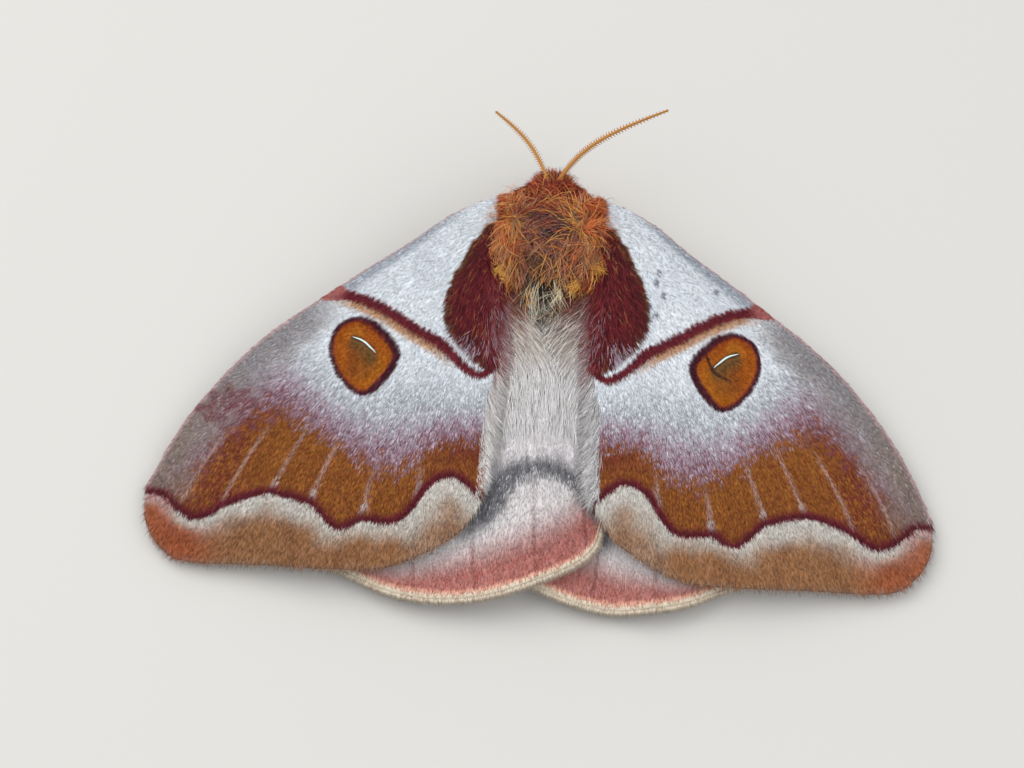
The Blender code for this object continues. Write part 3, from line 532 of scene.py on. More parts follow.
def sheet_faces(rows, columns):
    """Faces of a closed sheet: its upper grid, its lower grid and the rim between them."""
    i, j = np.meshgrid(np.arange(rows - 1), np.arange(columns - 1), indexing="ij")
    a = (i * columns + j).ravel()
    b, c, d = a + 1, a + columns, a + columns + 1
    off = rows * columns
    rim = [*range(columns), *[r * columns + columns - 1 for r in range(1, rows)],
           *[(rows - 1) * columns + k for k in range(columns - 2, -1, -1)],
           *[r * columns for r in range(rows - 2, 0, -1)]]
    rim = np.array(rim)
    after = np.roll(rim, -1)
    top = np.column_stack([a, c, d, b])
    low = np.column_stack([a, b, d, c]) + off
    side = np.column_stack([rim, after, after + off, rim + off])
    return np.vstack([top, low, side])


BASAL_RING = ring_points(BASAL_POINTS)
EYE_RING = ring_points(EYE_RIM)
WAVY_LINE, ANTEMEDIAN_LINE = curve_points(WAVY, 6), curve_points(ANTEMEDIAN, 6)
SLIT_LINE, WEAR_LINE = curve_points(EYE_SLIT, 6), curve_points(EYE_WEAR, 6)
FORE_PLAN = coons(FORE_COSTA, FORE_TERMEN, FORE_INNER)
WING_SCALES = painted_material("wing_scales", 0.8, bump=0.5, grain=5200.0)


def fore_point(q, s):
    """Plan and height of the forewing's upper face, veins included."""
    s = np.asarray(s) * FORE_REACH
    xy = FORE_PLAN(q, s)
    x, y = xy[..., 0], xy[..., 1]
    chord = 4 + 28 * s
    z = fore_height(x, y, q, s) + vein_ridges(FORE_VEINS, q, s, chord) - 0.04
    return np.stack([x, y, z], axis=-1)


def make_forewings():
    rows, columns = FORE_GRID
    s, q = np.meshgrid(np.linspace(0, 1, rows), np.linspace(0, 1, columns), indexing="ij")
    top = fore_point(q, s).reshape(-1, 3)
    qf, sf = q.ravel(), s.ravel()
    depth = SHEET + 0.25 * np.clip(1 - qf / 0.02, 0, 1)
    low = top - np.column_stack([0 * qf, 0 * qf, depth])
    for suffix, side in (("l", -1), ("r", 1)):
        draw = np.random.default_rng(7 + side)
        colours = paint_fore(top[:, 0], top[:, 1], qf, sf, draw, side > 0)
        under = even(FORE_UNDERSIDE, len(low))
        points = np.vstack([top, low]) * (side, 1, 1)
        faces = sheet_faces(rows, columns)
        faces = faces[:, ::-1] if side > 0 else faces
        mesh_piece("forewing_skin_" + suffix, points, faces[:, ::-1], np.vstack([colours, under]),
                   WING_SCALES, "white_scales", ("forewing_" + suffix,))


make_forewings()


def spread_over(point, count, draw):
    """Random places spread evenly over a surface, as shares across and along it."""
    edges = np.linspace(0, 1, 61)
    q, s = np.meshgrid(edges, edges, indexing="ij")
    p = point(q, s)
    area = np.linalg.norm(np.cross(p[1:, :-1] - p[:-1, :-1], p[:-1, 1:] - p[:-1, :-1]), axis=-1).ravel()
    i, j = np.divmod(draw.choice(area.size, count, p=area / area.sum()), 60)
    return (i + draw.random(count)) / 60, (j + draw.random(count)) / 60


def unit(v):
    return v / np.maximum(np.linalg.norm(v, axis=-1, keepdims=True), 1e-9)


def lie_of(point, q, s):
    """Roots on a wing, the way to its margin along the veins, and the outward normal."""
    step = 0.004
    along = unit(point(q, np.minimum(s + step, 1)) - point(q, np.maximum(s - step, 0)))
    across = point(np.minimum(q + step, 1), s) - point(np.maximum(q - step, 0), s)
    normal = unit(np.cross(across, along))
    return point(q, s), along, normal * np.sign(normal[:, 2:3])


def turned(along, normal, angle):
    side = np.cross(normal, along)
    return unit(along * np.cos(angle)[:, None] + side * np.sin(angle)[:, None])


def laid(way, normal):
    """The given way, laid flat on the skin."""
    return unit(way - normal * (way * normal).sum(axis=1, keepdims=True))


def tuft_map(mesh, roots, corners):
    """The bake map: each tuft is one small patch at its root's place on the skin's unwrap."""
    layer = mesh.uv_layers.new(name="OFBake")
    spots = (roots[:, None, :] + np.array(corners)[None, :, :] * 0.003).reshape(-1, 2)
    loops = np.empty(len(mesh.loops), np.int32)
    mesh.loops.foreach_get("vertex_index", loops)
    layer.data.foreach_set("uv", spots[loops].astype(np.float32).ravel())


def flat_tufts(name, roots, along, normal, length, width, lift, colours, spots, material, slot, side=1):
    """Short flat scales, each a closed sliver of four faces that lies back along the skin."""
    n = len(roots)
    roots, along, normal = [v * (side, 1, 1) for v in (roots, along, normal)]
    beside = unit(np.cross(along, normal))
    length, width, lift = [np.broadcast_to(v, n)[:, None] for v in (length, width, lift)]
    low = roots - normal * 0.03
    tip = roots + along * length + normal * lift
    crest = roots + along * length * 0.45 + normal * (lift * 0.5 + width * 0.25)
    points = np.stack([low + beside * width / 2, low - beside * width / 2, crest, tip], axis=1).reshape(-1, 3)
    first = np.arange(n)[:, None, None] * 4
    faces = (first + np.array([(0, 3, 2), (3, 1, 2), (1, 0, 2), (0, 1, 3)])[None]).reshape(-1, 3)
    shade = np.array([0.86, 0.86, 1.0, 1.06])[None, :, None]
    shown = np.clip(colours[:, None, :] * shade, 0, 1).reshape(-1, 3)
    obj = mesh_piece(name, points, faces, shown, material, slot)
    tuft_map(obj.data, spots, [(-0.5, 0), (0.5, 0), (0, 0.5), (0, 1)])
    return obj


def long_hairs(name, path, width, normal, colours, spots, material, slot, side=1, tips=None,
               tip_light=1.25, root_light=0.72):
    """Long hairs, each a closed three-sided taper along its own curved path, root first."""
    path, normal = path * (side, 1, 1), normal * (side, 1, 1)
    n, k, _ = path.shape
    way = unit(np.gradient(path, axis=1))
    beside = unit(np.cross(way, normal[:, None, :]))
    above = np.cross(beside, way)
    width = np.broadcast_to(width, n)[:, None] * np.linspace(1.0, 0.35, k - 1)[None, :] / 2
    rings = []
    for turn in (0.5 * math.pi, 0.5 * math.pi + 2.0944, 0.5 * math.pi + 4.1888):
        out = beside[:, :-1] * math.cos(turn) + above[:, :-1] * math.sin(turn) * 0.6
        rings.append(path[:, :-1] + out * width[..., None])
    each = 3 * (k - 1) + 1
    points = np.concatenate([np.stack(rings, axis=2).reshape(n, 3 * (k - 1), 3), path[:, -1:]], axis=1)
    pattern = [(0, 1, 2)]
    for r in range(k - 2):
        for a, b in ((0, 1), (1, 2), (2, 0)):
            pattern += [(3 * r + a, 3 * r + 3 + a, 3 * r + b), (3 * r + b, 3 * r + 3 + a, 3 * r + 3 + b)]
    last = 3 * (k - 2)
    pattern += [(last + a, each - 1, last + b) for a, b in ((0, 1), (1, 2), (2, 0))]
    faces = (np.arange(n)[:, None, None] * each + np.array(pattern)[None]).reshape(-1, 3)
    share = np.append(np.repeat(np.linspace(0, 1, k)[:-1], 3), 1.0)
    shade = (root_light + (tip_light - root_light) * share)[None, :, None]
    ends = colours if tips is None else tips
    blend = ease(0.15, 0.8, share)[None, :, None]
    shown = np.clip((colours[:, None, :] * (1 - blend) + ends[:, None, :] * blend) * shade, 0, 1)
    obj = mesh_piece(name, points.reshape(-1, 3), faces, shown.reshape(-1, 3), material, slot)
    corners = np.column_stack([np.tile([-0.5, 0.0, 0.5], k)[: each - 1], share[:-1]])
    tuft_map(obj.data, spots, np.vstack([corners, [(0, 1)]]))
    return obj


def bent(roots, along, normal, length, lift, sag, k, draw, sway=0.12):
    """Paths of hairs that rise from the skin and then lie back along it."""
    t = np.linspace(0, 1, k)[None, :, None]
    length, lift, sag = [np.broadcast_to(v, len(roots))[:, None, None] for v in (length, lift, sag)]
    side = np.cross(along, normal)[:, None, :] * draw.normal(0, sway, (len(roots), 1, 1))
    rise = lift * (2 * t - t * t) - sag * t * t
    ahead = roots[:, None] + along[:, None] * length * t
    return ahead + side * length * t * t + normal[:, None] * length * rise


# Forewing coat: flat hair-like scales in rows that run from the wing's root to its margin.
# Each scale takes the colour of the pattern where it lies, so the markings have soft, hairy edges.
# Long crimson hair covers the base, and grey and cream hair hangs over the inner margin.
COAT_COUNT = 45000
WOOL_COUNT = 6600
INNER_COUNT = 5200
MEET_COUNT = 3800
MEET_CENTRE = -0.6
SCALE_HAIR = painted_material("scale_hair", 0.75, detail=0.05)


def make_fore_coat(suffix, side):
    draw = np.random.default_rng(20 + side)
    count = fewer(COAT_COUNT)
    q, s = spread_over(fore_point, count, draw)
    keep = s < 0.995
    q, s = q[keep], s[keep]
    roots, along, normal = lie_of(fore_point, q, s)
    beyond = ease(0.82, 0.95, s)
    length = draw.uniform(0.55, 0.95, len(q)) * (1 + 0.3 * beyond)
    slit, _ = away_from(SLIT_LINE, roots[:, 0], roots[:, 1])
    spot = inside(EYE_RING, roots[:, 0], roots[:, 1])
    length = np.where(spot, 0.42, length)
    stay = ~((slit < 0.25) & spot)
    along = turned(along, normal, draw.normal(0, 0.16, len(q)))
    middle = roots + along * length[:, None] * 0.5
    colours = paint_fore(middle[:, 0], middle[:, 1], q, s, draw, side > 0)
    colours = uneven(colours, 0.90, 1.10, draw)
    width = draw.uniform(0.08, 0.13, len(q))
    lift = draw.uniform(0.02, 0.09, len(q))
    parts = [v[stay] for v in (roots, along, normal, length, width, lift, colours)]
    spots = np.column_stack([q, s])[stay] * 0.99
    flat_tufts("forewing_coat_" + suffix, *parts, spots, SCALE_HAIR, "white_scales", side)


def make_wool(suffix, side):
    draw = np.random.default_rng(40 + side)
    q, s = spread_over(fore_point, WOOL_COUNT * 9, draw)
    roots, along, normal = lie_of(fore_point, q, s)
    x, y = roots[:, 0], roots[:, 1]
    rim, _ = away_from(BASAL_RING, x, y)
    inner = inside(BASAL_RING, x, y)
    chosen = np.nonzero(inner & (rim > 0.15))[0][: fewer(WOOL_COUNT)]
    roots, along, normal, x, y, rim = [v[chosen] for v in (roots, along, normal, x, y, rim)]
    down = np.column_stack([0.25 + 0.03 * (x - 5), -np.ones(len(x)), -0.1 * np.ones(len(x))])
    along = unit(along * 0.5 + unit(down))
    along = laid(along, normal)
    fan = 0.25 * ease(1.6, 0.2, rim) * (x > 5.5) - 0.5 * ease(6.4, 4.8, x)
    along = turned(along, normal, draw.normal(0, 0.22, len(x)) + fan)
    length = draw.uniform(1.0, 1.9, len(x)) * (0.6 + 0.4 * ease(0.1, 1.2, rim))
    path = bent(roots - normal * 0.03, along, normal, length, draw.uniform(0.12, 0.32, len(x)), 0.16, 4, draw)
    grain = draw.random(len(x))
    colours = even((128, 40, 48), len(x))
    colours = layered(colours,
        ((78, 22, 34), (grain < 0.30) * 1.0),
        ((150, 62, 58), ((grain > 0.78) & (grain < 0.9)) * 0.8))
    outer = ease(2.6, 0.8, rim) * (x > 5.5)
    colours = dyed(colours, draw, ((84, 34, 36), outer * 0.45, 0.9))
    outer = ease(0.9, 0.2, rim) * (x > 5.5)
    colours = dyed(colours, draw,
        ((132, 88, 46), outer * 0.6, 0.85),
        ((78, 48, 34), outer * 0.3, 0.9),
        ((180, 124, 66), 0.03, 0.9))
    low = ease(-9.6, -12.4, y)
    colours = dyed(colours, draw, ((200, 184, 198), low * 0.6 * ease(5.9, 6.8, x), 0.9))
    body_side = ease(6.6, 5.0, x) * ease(-3.0, -6.0, y)
    pinkish = 0.22 if side > 0 else 0.45
    colours = dyed(colours, draw, ((150, 74, 78), pinkish * body_side, 0.8))
    faded = pinkish * body_side * ease(-6.0, -9.0, y) * ease(-13.0, -11.5, y)
    colours = dyed(colours, draw, ((176, 150, 158), faded, 0.8))
    colours = uneven(colours, 0.8, 1.2, draw)
    long_hairs("forewing_wool_" + suffix, path, 0.12, normal, colours,
               np.column_stack([q[chosen], s[chosen]]) * 0.99, SCALE_HAIR, "white_scales", side)


def make_inner_hair(suffix, side):
    """Hair that hangs from the inner margin over the body's sides: crimson in front, cream behind."""
    draw = np.random.default_rng(60 + side)
    count = fewer(INNER_COUNT)
    s = np.where(draw.random(count) < 0.45, draw.uniform(0.03, 0.42, count), draw.uniform(0.36, 0.93, count))
    q = 1 - (0.012 + 0.05 * ease(0.45, 0.6, s)) * draw.random(count) ** 1.3
    roots, along, normal = lie_of(fore_point, q, s)
    y = roots[:, 1] + draw.normal(0, 0.5, count)
    inward = 0.50 * ease(-17.0, -9.0, y) + 0.58 - 0.10 * ease(-20.0, -25.0, y)
    along = turned(along, normal, draw.normal(0, 0.24, count) - inward)
    reach = ease(-4.0, -8.0, y) * ease(-19.0, -13.0, y)
    length = draw.uniform(1.5, 3.0, count) * (1 + 0.55 * reach)
    if side < 0:
        length = length * (1 - 0.45 * ease(-20.5, -23.0, y))
    sag = draw.uniform(0.10, 0.32, count)
    path = bent(roots - normal * 0.03, along, normal, length, draw.uniform(0.04, 0.16, count), sag, 4, draw)
    path[:, :, 2] = np.maximum(path[:, :, 2], hind_height(path[..., 0], path[..., 1], side) + 0.10)
    colours = even((216, 207, 202) if side < 0 else (200, 197, 197), count)
    colours = dyed(colours, draw,
        ((240, 238, 238), 0.40, 0.9),
        ((120, 116, 118), (0.26 if side > 0 else 0.06), 0.8))
    tips = dyed(colours, draw, ((230, 227, 226), 0.7, 0.85))
    mid = ease(-15.0, -13.2, y)
    colours = dyed(colours, draw, ((156, 92, 92), mid * 0.75, 0.9), ((126, 38, 48), mid * 0.6, 0.9))
    front = ease(-11.8, -9.0, y)
    colours = dyed(colours, draw, ((126, 58, 48), front * 0.9, 0.95), ((112, 32, 44), front * 0.55, 0.9))
    tips = np.where((draw.random(count) < ease(-7.5, -4.5, y))[:, None], colours, tips)
    tips = dyed(tips, draw, ((160, 104, 66), ease(-10.0, -5.5, y) * 0.5, 0.8))
    light = draw.uniform(0.74, 1.22, count)[:, None]
    colours, tips = np.clip(colours * light, 0, 1), np.clip(tips * light, 0, 1)
    long_hairs("forewing_inner_hair_" + suffix, path, 0.10, normal, colours,
               np.column_stack([q, s]) * 0.99, SCALE_HAIR, "white_scales", side, tips, tip_light=1.1)


def make_meeting_hair(suffix, side):
    """Long hair from the wing's root that runs in over the body and meets the other wing's there."""
    draw = np.random.default_rng(65 + side)
    count = fewer(MEET_COUNT)
    x, y = draw.uniform(-3.6, 4.9, count), -4.0 - 15.0 * draw.random(count) ** 1.15
    lean = 0.20 if side < 0 else 0.34
    slope = lean + (0.95 - lean) * ease(-15.0, -9.5, y) + draw.normal(0, 0.08, count)
    way = unit(np.column_stack([-slope, -np.ones(count)]))
    length = draw.uniform(2.2, 3.8, count)
    tip = np.column_stack([x, y]) + way * length[:, None]
    seam = MEET_CENTRE + 0.42 * np.maximum(-11.4 - tip[:, 1], 0)
    gap = side * seam + 1.75 * np.clip((tip[:, 1] + 12.8) / 6.4, 0, 1) + draw.normal(-0.12, 0.18, count)
    length = np.minimum(length, (x - gap) / np.maximum(-way[:, 0], 0.1) + 0.3)
    stay = (length > 0.9) & (x > gap)
    x, y, way, length = x[stay], y[stay], way[stay], length[stay]
    count, share = len(x), np.linspace(0, 1, 5)[None, :]
    bow = draw.normal(0.12, 0.10, count)[:, None] * share * share * length[:, None]
    px = x[:, None] + way[:, :1] * length[:, None] * share + bow
    py = y[:, None] + way[:, 1:] * length[:, None] * share
    top = np.maximum(hind_height(px, py, side), hind_height(-px, py, -side))
    rise = draw.uniform(0.15, 0.5, count)[:, None] * (0.4 + share * (2.2 - 1.8 * share))
    path = np.stack([px, py, top + rise * (1 + 0.6 * ease(-11.0, -7.0, y))[:, None]], axis=-1)
    front = ease(-9.4, -6.4, y - 0.4 * (4.6 - x))
    behind = ease(-10.5, -14.0, y)[:, None]
    roots = even((210, 190, 176), count) * (1 - behind) + linear((240, 236, 236))[None] * behind
    roots = dyed(roots, draw,
        ((170, 122, 104), 0.8 * ease(-10.8, -8.5, y), 0.9),
        ((142, 66, 48), 0.95 * front, 0.95),
        ((116, 36, 46), 0.45 * front, 0.9))
    tips = even((236, 230, 222), count) * (1 - behind) + linear((244, 242, 242))[None] * behind
    tips = dyed(tips, draw, ((244, 242, 238), 0.4, 0.9), ((154, 98, 74), 0.95 * front, 0.9))
    grey = (0.20 if side > 0 else 0.05) * (1 - 0.5 * behind[:, 0])
    tips = dyed(tips, draw, ((120, 112, 108), grey, 0.8))
    light = draw.uniform(0.86, 1.10, count)[:, None]
    roots, tips = np.clip(roots * light, 0, 1), np.clip(tips * light, 0, 1)
    normal = np.tile([0.0, 0.0, 1.0], (count, 1))
    spots = np.column_stack([np.clip(1 - (4.9 - x) / 40, 0, 1), np.clip(-y / 40, 0, 1)]) * 0.99
    long_hairs("forewing_meeting_hair_" + suffix, path, 0.10, normal, roots, spots, SCALE_HAIR,
               "pink_scales", side, tips, tip_light=1.12, root_light=0.84)


def tube_mesh(path, radii, sides=14, squash=1.0):
    """A closed tube of changing thickness along a path of points."""
    way = unit(np.gradient(path, axis=0))
    side = unit(np.cross(way, (0.0, 0.0, 1.0)) + (1e-6, 0, 0))
    above = np.cross(side, way)
    turn = np.linspace(0, 2 * math.pi, sides, endpoint=False)
    ring = side[:, None] * np.cos(turn)[None, :, None] + above[:, None] * np.sin(turn)[None, :, None] * squash
    points = (path[:, None] + ring * np.asarray(radii)[:, None, None]).reshape(-1, 3)
    faces = []
    for r in range(len(path) - 1):
        for c in range(sides):
            d = (c + 1) % sides
            faces.append([r * sides + c, r * sides + d, (r + 1) * sides + d, (r + 1) * sides + c])
    faces.append(list(range(sides))[::-1])
    faces.append([(len(path) - 1) * sides + c for c in range(sides)])
    return points, faces


def four_sided(faces):
    """The same faces, with each end of a tube cut up into four-sided ones."""
    quads = [f for f in faces if len(f) == 4]
    caps = [[f[0], f[i], f[i + 1], f[i + 2]] for f in faces if len(f) > 4 for i in range(1, len(f) - 2, 2)]
    return np.array(quads + caps)


def make_slit(suffix, side):
    """The clear window in the eyespot: a narrow curved slit of bare, shiny membrane."""
    share = np.linspace(0, 1, 22)
    line = curve_through(EYE_SLIT)(share)
    grid = np.linspace(0, 1, 161)
    s, q = np.meshgrid(grid, grid, indexing="ij")
    near = fore_point(q, s).reshape(-1, 3)
    height = [near[np.hypot(near[:, 0] - x, near[:, 1] - y).argmin(), 2] for x, y in line]
    path = np.column_stack([line, np.array(height) + 0.05])
    half = 0.105 * np.sin(math.pi * np.clip(share, 0.04, 0.96)) ** 0.5
    points, faces = tube_mesh(path, half, 10, 0.6)
    material = bpy.data.materials.new("clear_window_" + suffix)
    material.use_nodes = True
    shader = material.node_tree.nodes["Principled BSDF"]
    shader.inputs["Base Color"].default_value = (*linear("slit"), 1)
    shader.inputs["Roughness"].default_value = 0.3
    faces = four_sided(faces)
    faces = faces if side > 0 else faces[:, ::-1]
    mesh_piece("eyespot_slit_" + suffix, points * (side, 1, 1), faces, None, material, "white_scales")


for wing, hand in (("l", -1), ("r", 1)):
    make_fore_coat(wing, hand)
    make_wool(wing, hand)

# Hindwings: soft wings folded in pleats beneath the forewings, the left one lying over the right.
# Each is a closed sheet, pinkish white with a smoky arch, a salmon pink border and a cream fringe.
# The pleats run from the body to the smoky arch, with the wing's own veins beyond it.
HIND_COSTA = [(4.6, -1.6), (12.0, -6.0), (20.0, -14.5), (24.5, -23.0), (24.6, -28.5)]
HIND_TERMEN = [(24.6, -28.5), (22.0, -32.3), (18.5, -34.1), (13.5, -36.3), (8.0, -36.9), (2.5, -36.0),
               (-2.6, -33.9), (-5.4, -31.6), (-6.2, -29.0)]
HIND_INNER = [(4.6, -4.8), (3.2, -6.9), (0.2, -9.4), (-3.0, -12.0), (-5.0, -16.0), (-5.7, -22.0),
              (-6.2, -29.0)]
HIND_VEINS = [(0.12, 0.14, 0.13, 0.0), (0.28, 0.28, 0.28, 0.4), (0.44, 0.43, 0.44, 0.4),
              (0.60, 0.58, 0.60, 0.0), (0.76, 0.75, 0.76, 0.0), (0.91, 0.90, 0.91, 0.0)]
HIND_REACH = 0.985
HIND_SHEET = 0.24
HIND_UNDERSIDE = (196, 176, 168)
HIND_GRID, HIND_GRID_QUICK = (130, 120), (80, 60)
HIND_PLAN = coons(HIND_COSTA, HIND_TERMEN, HIND_INNER)
SMOKY_ARCH = [(7.0, -29.2), (4.6, -27.4), (3.7, -25.9), (2.3, -24.7), (-0.1, -24.1), (-2.0, -24.2),
              (-3.5, -24.8), (-4.4, -25.5), (-6.4, -27.5)]
PINK_FROM = [(24.0, -31.5), (17.0, -34.3), (12.8, -35.1), (9.9, -34.2), (6.2, -32.8), (3.4, -31.6),
             (0.6, -30.5), (-2.2, -28.8), (-4.5, -26.5), (-6.4, -24.6)]
PINK_FULL = [(24.2, -32.0), (17.0, -34.8), (12.7, -35.8), (7.9, -35.4), (3.2, -34.2), (-0.5, -33.0),
             (-3.3, -31.3), (-5.1, -29.4), (-6.4, -28.0)]
PLEAT_FROM = (3.8, -2.0)


def hind_height(x, y, side):
    world = side * x
    arch = np.clip(1 - (x / 5.0) ** 2, 0, 1) ** 2 * (1 - 0.7 * ease(22.0, 37.0, -y))
    tuck = 0.5 * ease(14.0, 22.0, np.abs(x))
    under = 1.2 * (1 - ease(7.0, 12.0, world)) if side > 0 else 0.0
    return roof(x, y) - 1.2 + arch - tuck - under


def pleats(x, y):
    turn = np.arctan2(x - PLEAT_FROM[0], PLEAT_FROM[1] - y)
    fold = np.abs((turn * 14.0 + 0.25 * np.sin(y * 0.35)) % 1.0 - 0.5) * 2
    return 0.20 * fold * ease(-9.0, -13.0, y) * ease(-25.0, -22.0, y) * ease(8.0, 5.0, np.abs(x))


def hind_surface(side):
    def point(q, s):
        s = np.asarray(s) * HIND_REACH
        xy = HIND_PLAN(q, s)
        x, y = xy[..., 0], xy[..., 1]
        z = hind_height(x, y, side) - 0.04 + vein_ridges(HIND_VEINS, q, s, 6 + 24 * s)
        return np.stack([x, y, z + pleats(x, y) - 0.10 * ease(-9.0, -13.0, y)], axis=-1)

    return point


def paint_hind(x, y, q, s, draw):
    """Colour of the hindwing's scales at each point of its plan."""
    grain = draw.random(x.shape)
    arch_y = line_at(SMOKY_ARCH, x)
    from_y, full_y = line_at(PINK_FROM, x), line_at(PINK_FULL, x)
    colour = even((234, 228, 230), len(x))
    colour = mix(colour, (240, 237, 239), 0.7 * (grain < 0.4))
    turn = np.arctan2(x - PLEAT_FROM[0], PLEAT_FROM[1] - y)
    fold = np.abs((turn * 14.0 + 0.25 * np.sin(y * 0.35)) % 1.0 - 0.5) * 2
    # The first layer is painted shade in the pleats' valleys, in front of the smoky arch.
    colour = layered(colour,
        ((186, 166, 164), 0.4 * ease(0.5, 0.0, fold) * (y > arch_y)),
        ((120, 112, 106), 0.8 * ease(1.6, 0.6, np.abs(x)) * ease(-13.4, -12.0, y)),
        ((212, 205, 206), 0.45 * ease(3.6, 1.6, y - arch_y) * (y > arch_y)))
    below = ease(0.0, 1.2, arch_y - y)
    colour = mix(colour, (212, 206, 205), 0.8 * below)
    pink = ease(from_y + 2.6, full_y + 0.7, y)
    colour = mix(colour, (168, 93, 83), pink * (0.85 + 0.15 * grain))
    # Darker lines along the veins, strongest in the pink border: the veins' own colour, together with painted
    # shade of the folds along them.
    near = np.min([np.abs(q - vein_share(v, s)) for v in HIND_VEINS], axis=0) * (6 + 24 * s)
    colour = mix(colour, (140, 84, 76), (0.25 + 0.4 * pink) * ease(0.20, 0.06, near) * below)
    arch, _ = away_from(curve_points(SMOKY_ARCH, 6), x, y)
    arch = arch + 0.18 * wander(x, y, 91, 0.5) - 0.5 * ease(0.5, 3.5, x)
    colour = layered(colour,
        ((88, 87, 94), ease(1.45, 0.25, arch) * (grain < 0.94) * ease(9.0, 5.0, x)),
        ((158, 156, 158), 0.5 * ease(2.3, 1.0, arch) * (grain < 0.6) * (x < 7)),
        ((222, 164, 142), 0.85 * ease(0.976, 0.980, s)),
        ((218, 204, 182), ease(0.988, 0.992, s)))
    return np.clip(colour, 0, 1)


def make_hindwings():
    rows, columns = HIND_GRID
    s, q = np.meshgrid(np.linspace(0, 1, rows), np.linspace(0, 1, columns), indexing="ij")
    for suffix, side in (("l", -1), ("r", 1)):
        draw = np.random.default_rng(70 + side)
        top = hind_surface(side)(q, s).reshape(-1, 3)
        low = top - (0, 0, HIND_SHEET)
        colours = paint_hind(top[:, 0], top[:, 1], q.ravel(), s.ravel(), draw)
        under = even(HIND_UNDERSIDE, len(low))
        faces = sheet_faces(rows, columns)
        faces = faces if side > 0 else faces[:, ::-1]
        mesh_piece("hindwing_skin_" + suffix, np.vstack([top, low]) * (side, 1, 1), faces,
                   np.vstack([colours, under]), WING_SCALES, "pink_scales", ("hindwing_" + suffix,))


make_hindwings()

# Hindwing coat: short flat scales on the border, and long soft hair over the pleats.
# The hair fans out from the body and lies along the pleats, whitish, and smoky at the arch.
# A fringe of cream hair stands all along the outer margin.
HIND_COUNT = 26000
FORE_OUTLINE = np.vstack([curve_points(FORE_COSTA, 4), curve_points(FORE_TERMEN, 4),
                          curve_points(FORE_INNER, 4)[::-1]])
COVERED_FROM = 2.0
HIND_HAIR = 4600
FRINGE_COUNT = 5200


def make_hind_coat(suffix, side):
    draw = np.random.default_rng(80 + side)
    point = hind_surface(side)
    q, s = spread_over(point, fewer(HIND_COUNT), draw)
    place = point(q, s)
    depth, _ = away_from(FORE_OUTLINE, place[:, 0], place[:, 1])
    covered = inside(FORE_OUTLINE, place[:, 0], place[:, 1]) & (depth > COVERED_FROM)
    keep = (s < 0.995) & ~covered
    q, s = q[keep], s[keep]
    roots, along, normal = lie_of(point, q, s)
    length = draw.uniform(0.5, 1.0, len(q)) * (1 - 0.45 * ease(0.90, 0.96, s))
    along = turned(along, normal, draw.normal(0, 0.14, len(q)))
    middle = roots + along * length[:, None] * 0.5
    colours = paint_hind(middle[:, 0], middle[:, 1], q, s, draw)
    colours = uneven(colours, 0.93, 1.07, draw)
    width, lift = draw.uniform(0.09, 0.14, len(q)), draw.uniform(0.02, 0.07, len(q))
    flat_tufts("hindwing_coat_" + suffix, roots, along, normal, length, width, lift, colours,
               np.column_stack([q, s]) * 0.99, SCALE_HAIR, "pink_scales", side)


def make_hind_hair(suffix, side):
    draw = np.random.default_rng(90 + side)
    point = hind_surface(side)
    q, s = spread_over(point, HIND_HAIR * 5, draw)
    roots, along, normal = lie_of(point, q, s)
    x, y = roots[:, 0], roots[:, 1]
    want = (np.abs(x) < 6.4) & (y > -25.5) & (draw.random(len(x)) < 1.0 - 0.35 * ease(-12, -20, y))
    chosen = np.nonzero(want)[0][: fewer(HIND_HAIR)]
    roots, normal, x, y = [v[chosen] for v in (roots, normal, x, y)]
    fan = np.column_stack([x - PLEAT_FROM[0], y - PLEAT_FROM[1], 0.1 * y])
    along = laid(fan, normal)
    along = turned(along, normal, draw.normal(0, 0.13, len(x)))
    length = draw.uniform(1.2, 2.6, len(x))
    path = bent(roots - normal * 0.03, along, normal, length, draw.uniform(0.02, 0.07, len(x)), 0.06, 3, draw)
    colours = even((232, 229, 230), len(x))
    colours = dyed(colours, draw, ((246, 246, 248), 0.5, 0.9), ((186, 174, 174), 0.10, 0.8))
    gap = ease(1.5, 0.5, np.abs(side * x + 0.5)) * ease(-13.6, -12.2, y)
    colours = dyed(colours, draw, ((96, 90, 84), 0.8 * gap, 0.9))
    ends = []
    for step, reach in ((1, 0.55), (2, 1.25)):
        arch, _ = away_from(curve_points(SMOKY_ARCH, 6), path[:, step, 0], path[:, step, 1])
        arch = arch - 0.5 * ease(0.5, 3.5, path[:, step, 0])
        smoky = ease(reach + 0.6, 0.3, arch) * (draw.random(len(x)) < 0.92)
        ends.append(mix(colours, (86, 86, 94), smoky * 0.9))
    long_hairs("hindwing_hair_" + suffix, path, 0.10, normal, ends[0],
               np.column_stack([q[chosen], s[chosen]]) * 0.99, SCALE_HAIR, "pink_scales", side, ends[1],
               tip_light=1.04, root_light=0.96)


def make_fringe(name, point, side, count, length, colours, slot):
    draw = np.random.default_rng(100 + side)
    count = fewer(count)
    q, s = draw.uniform(0.0, 1.0, count), np.full(count, 0.999)
    roots, along, normal = lie_of(point, q, s)
    edge = point(np.minimum(q + 0.003, 1), s) - point(np.maximum(q - 0.003, 0), s)
    out = unit(np.cross(normal, edge))
    out = out * np.sign((out * along).sum(axis=1, keepdims=True))
    out = turned(unit(out + 0.25 * along), normal, draw.normal(0, 0.15, count))
    roots = roots - normal * draw.uniform(0.05, 0.2, count)[:, None] - out * 0.1
    shades = dyed(even(colours[0], count), draw, (colours[1], 0.4, 0.9))
    flat_tufts(name, roots, out, normal, length * draw.uniform(0.75, 1.15, count), 0.11, -0.05, shades,
               np.column_stack([q * 0.99, s * 0.99]), SCALE_HAIR, slot, side)


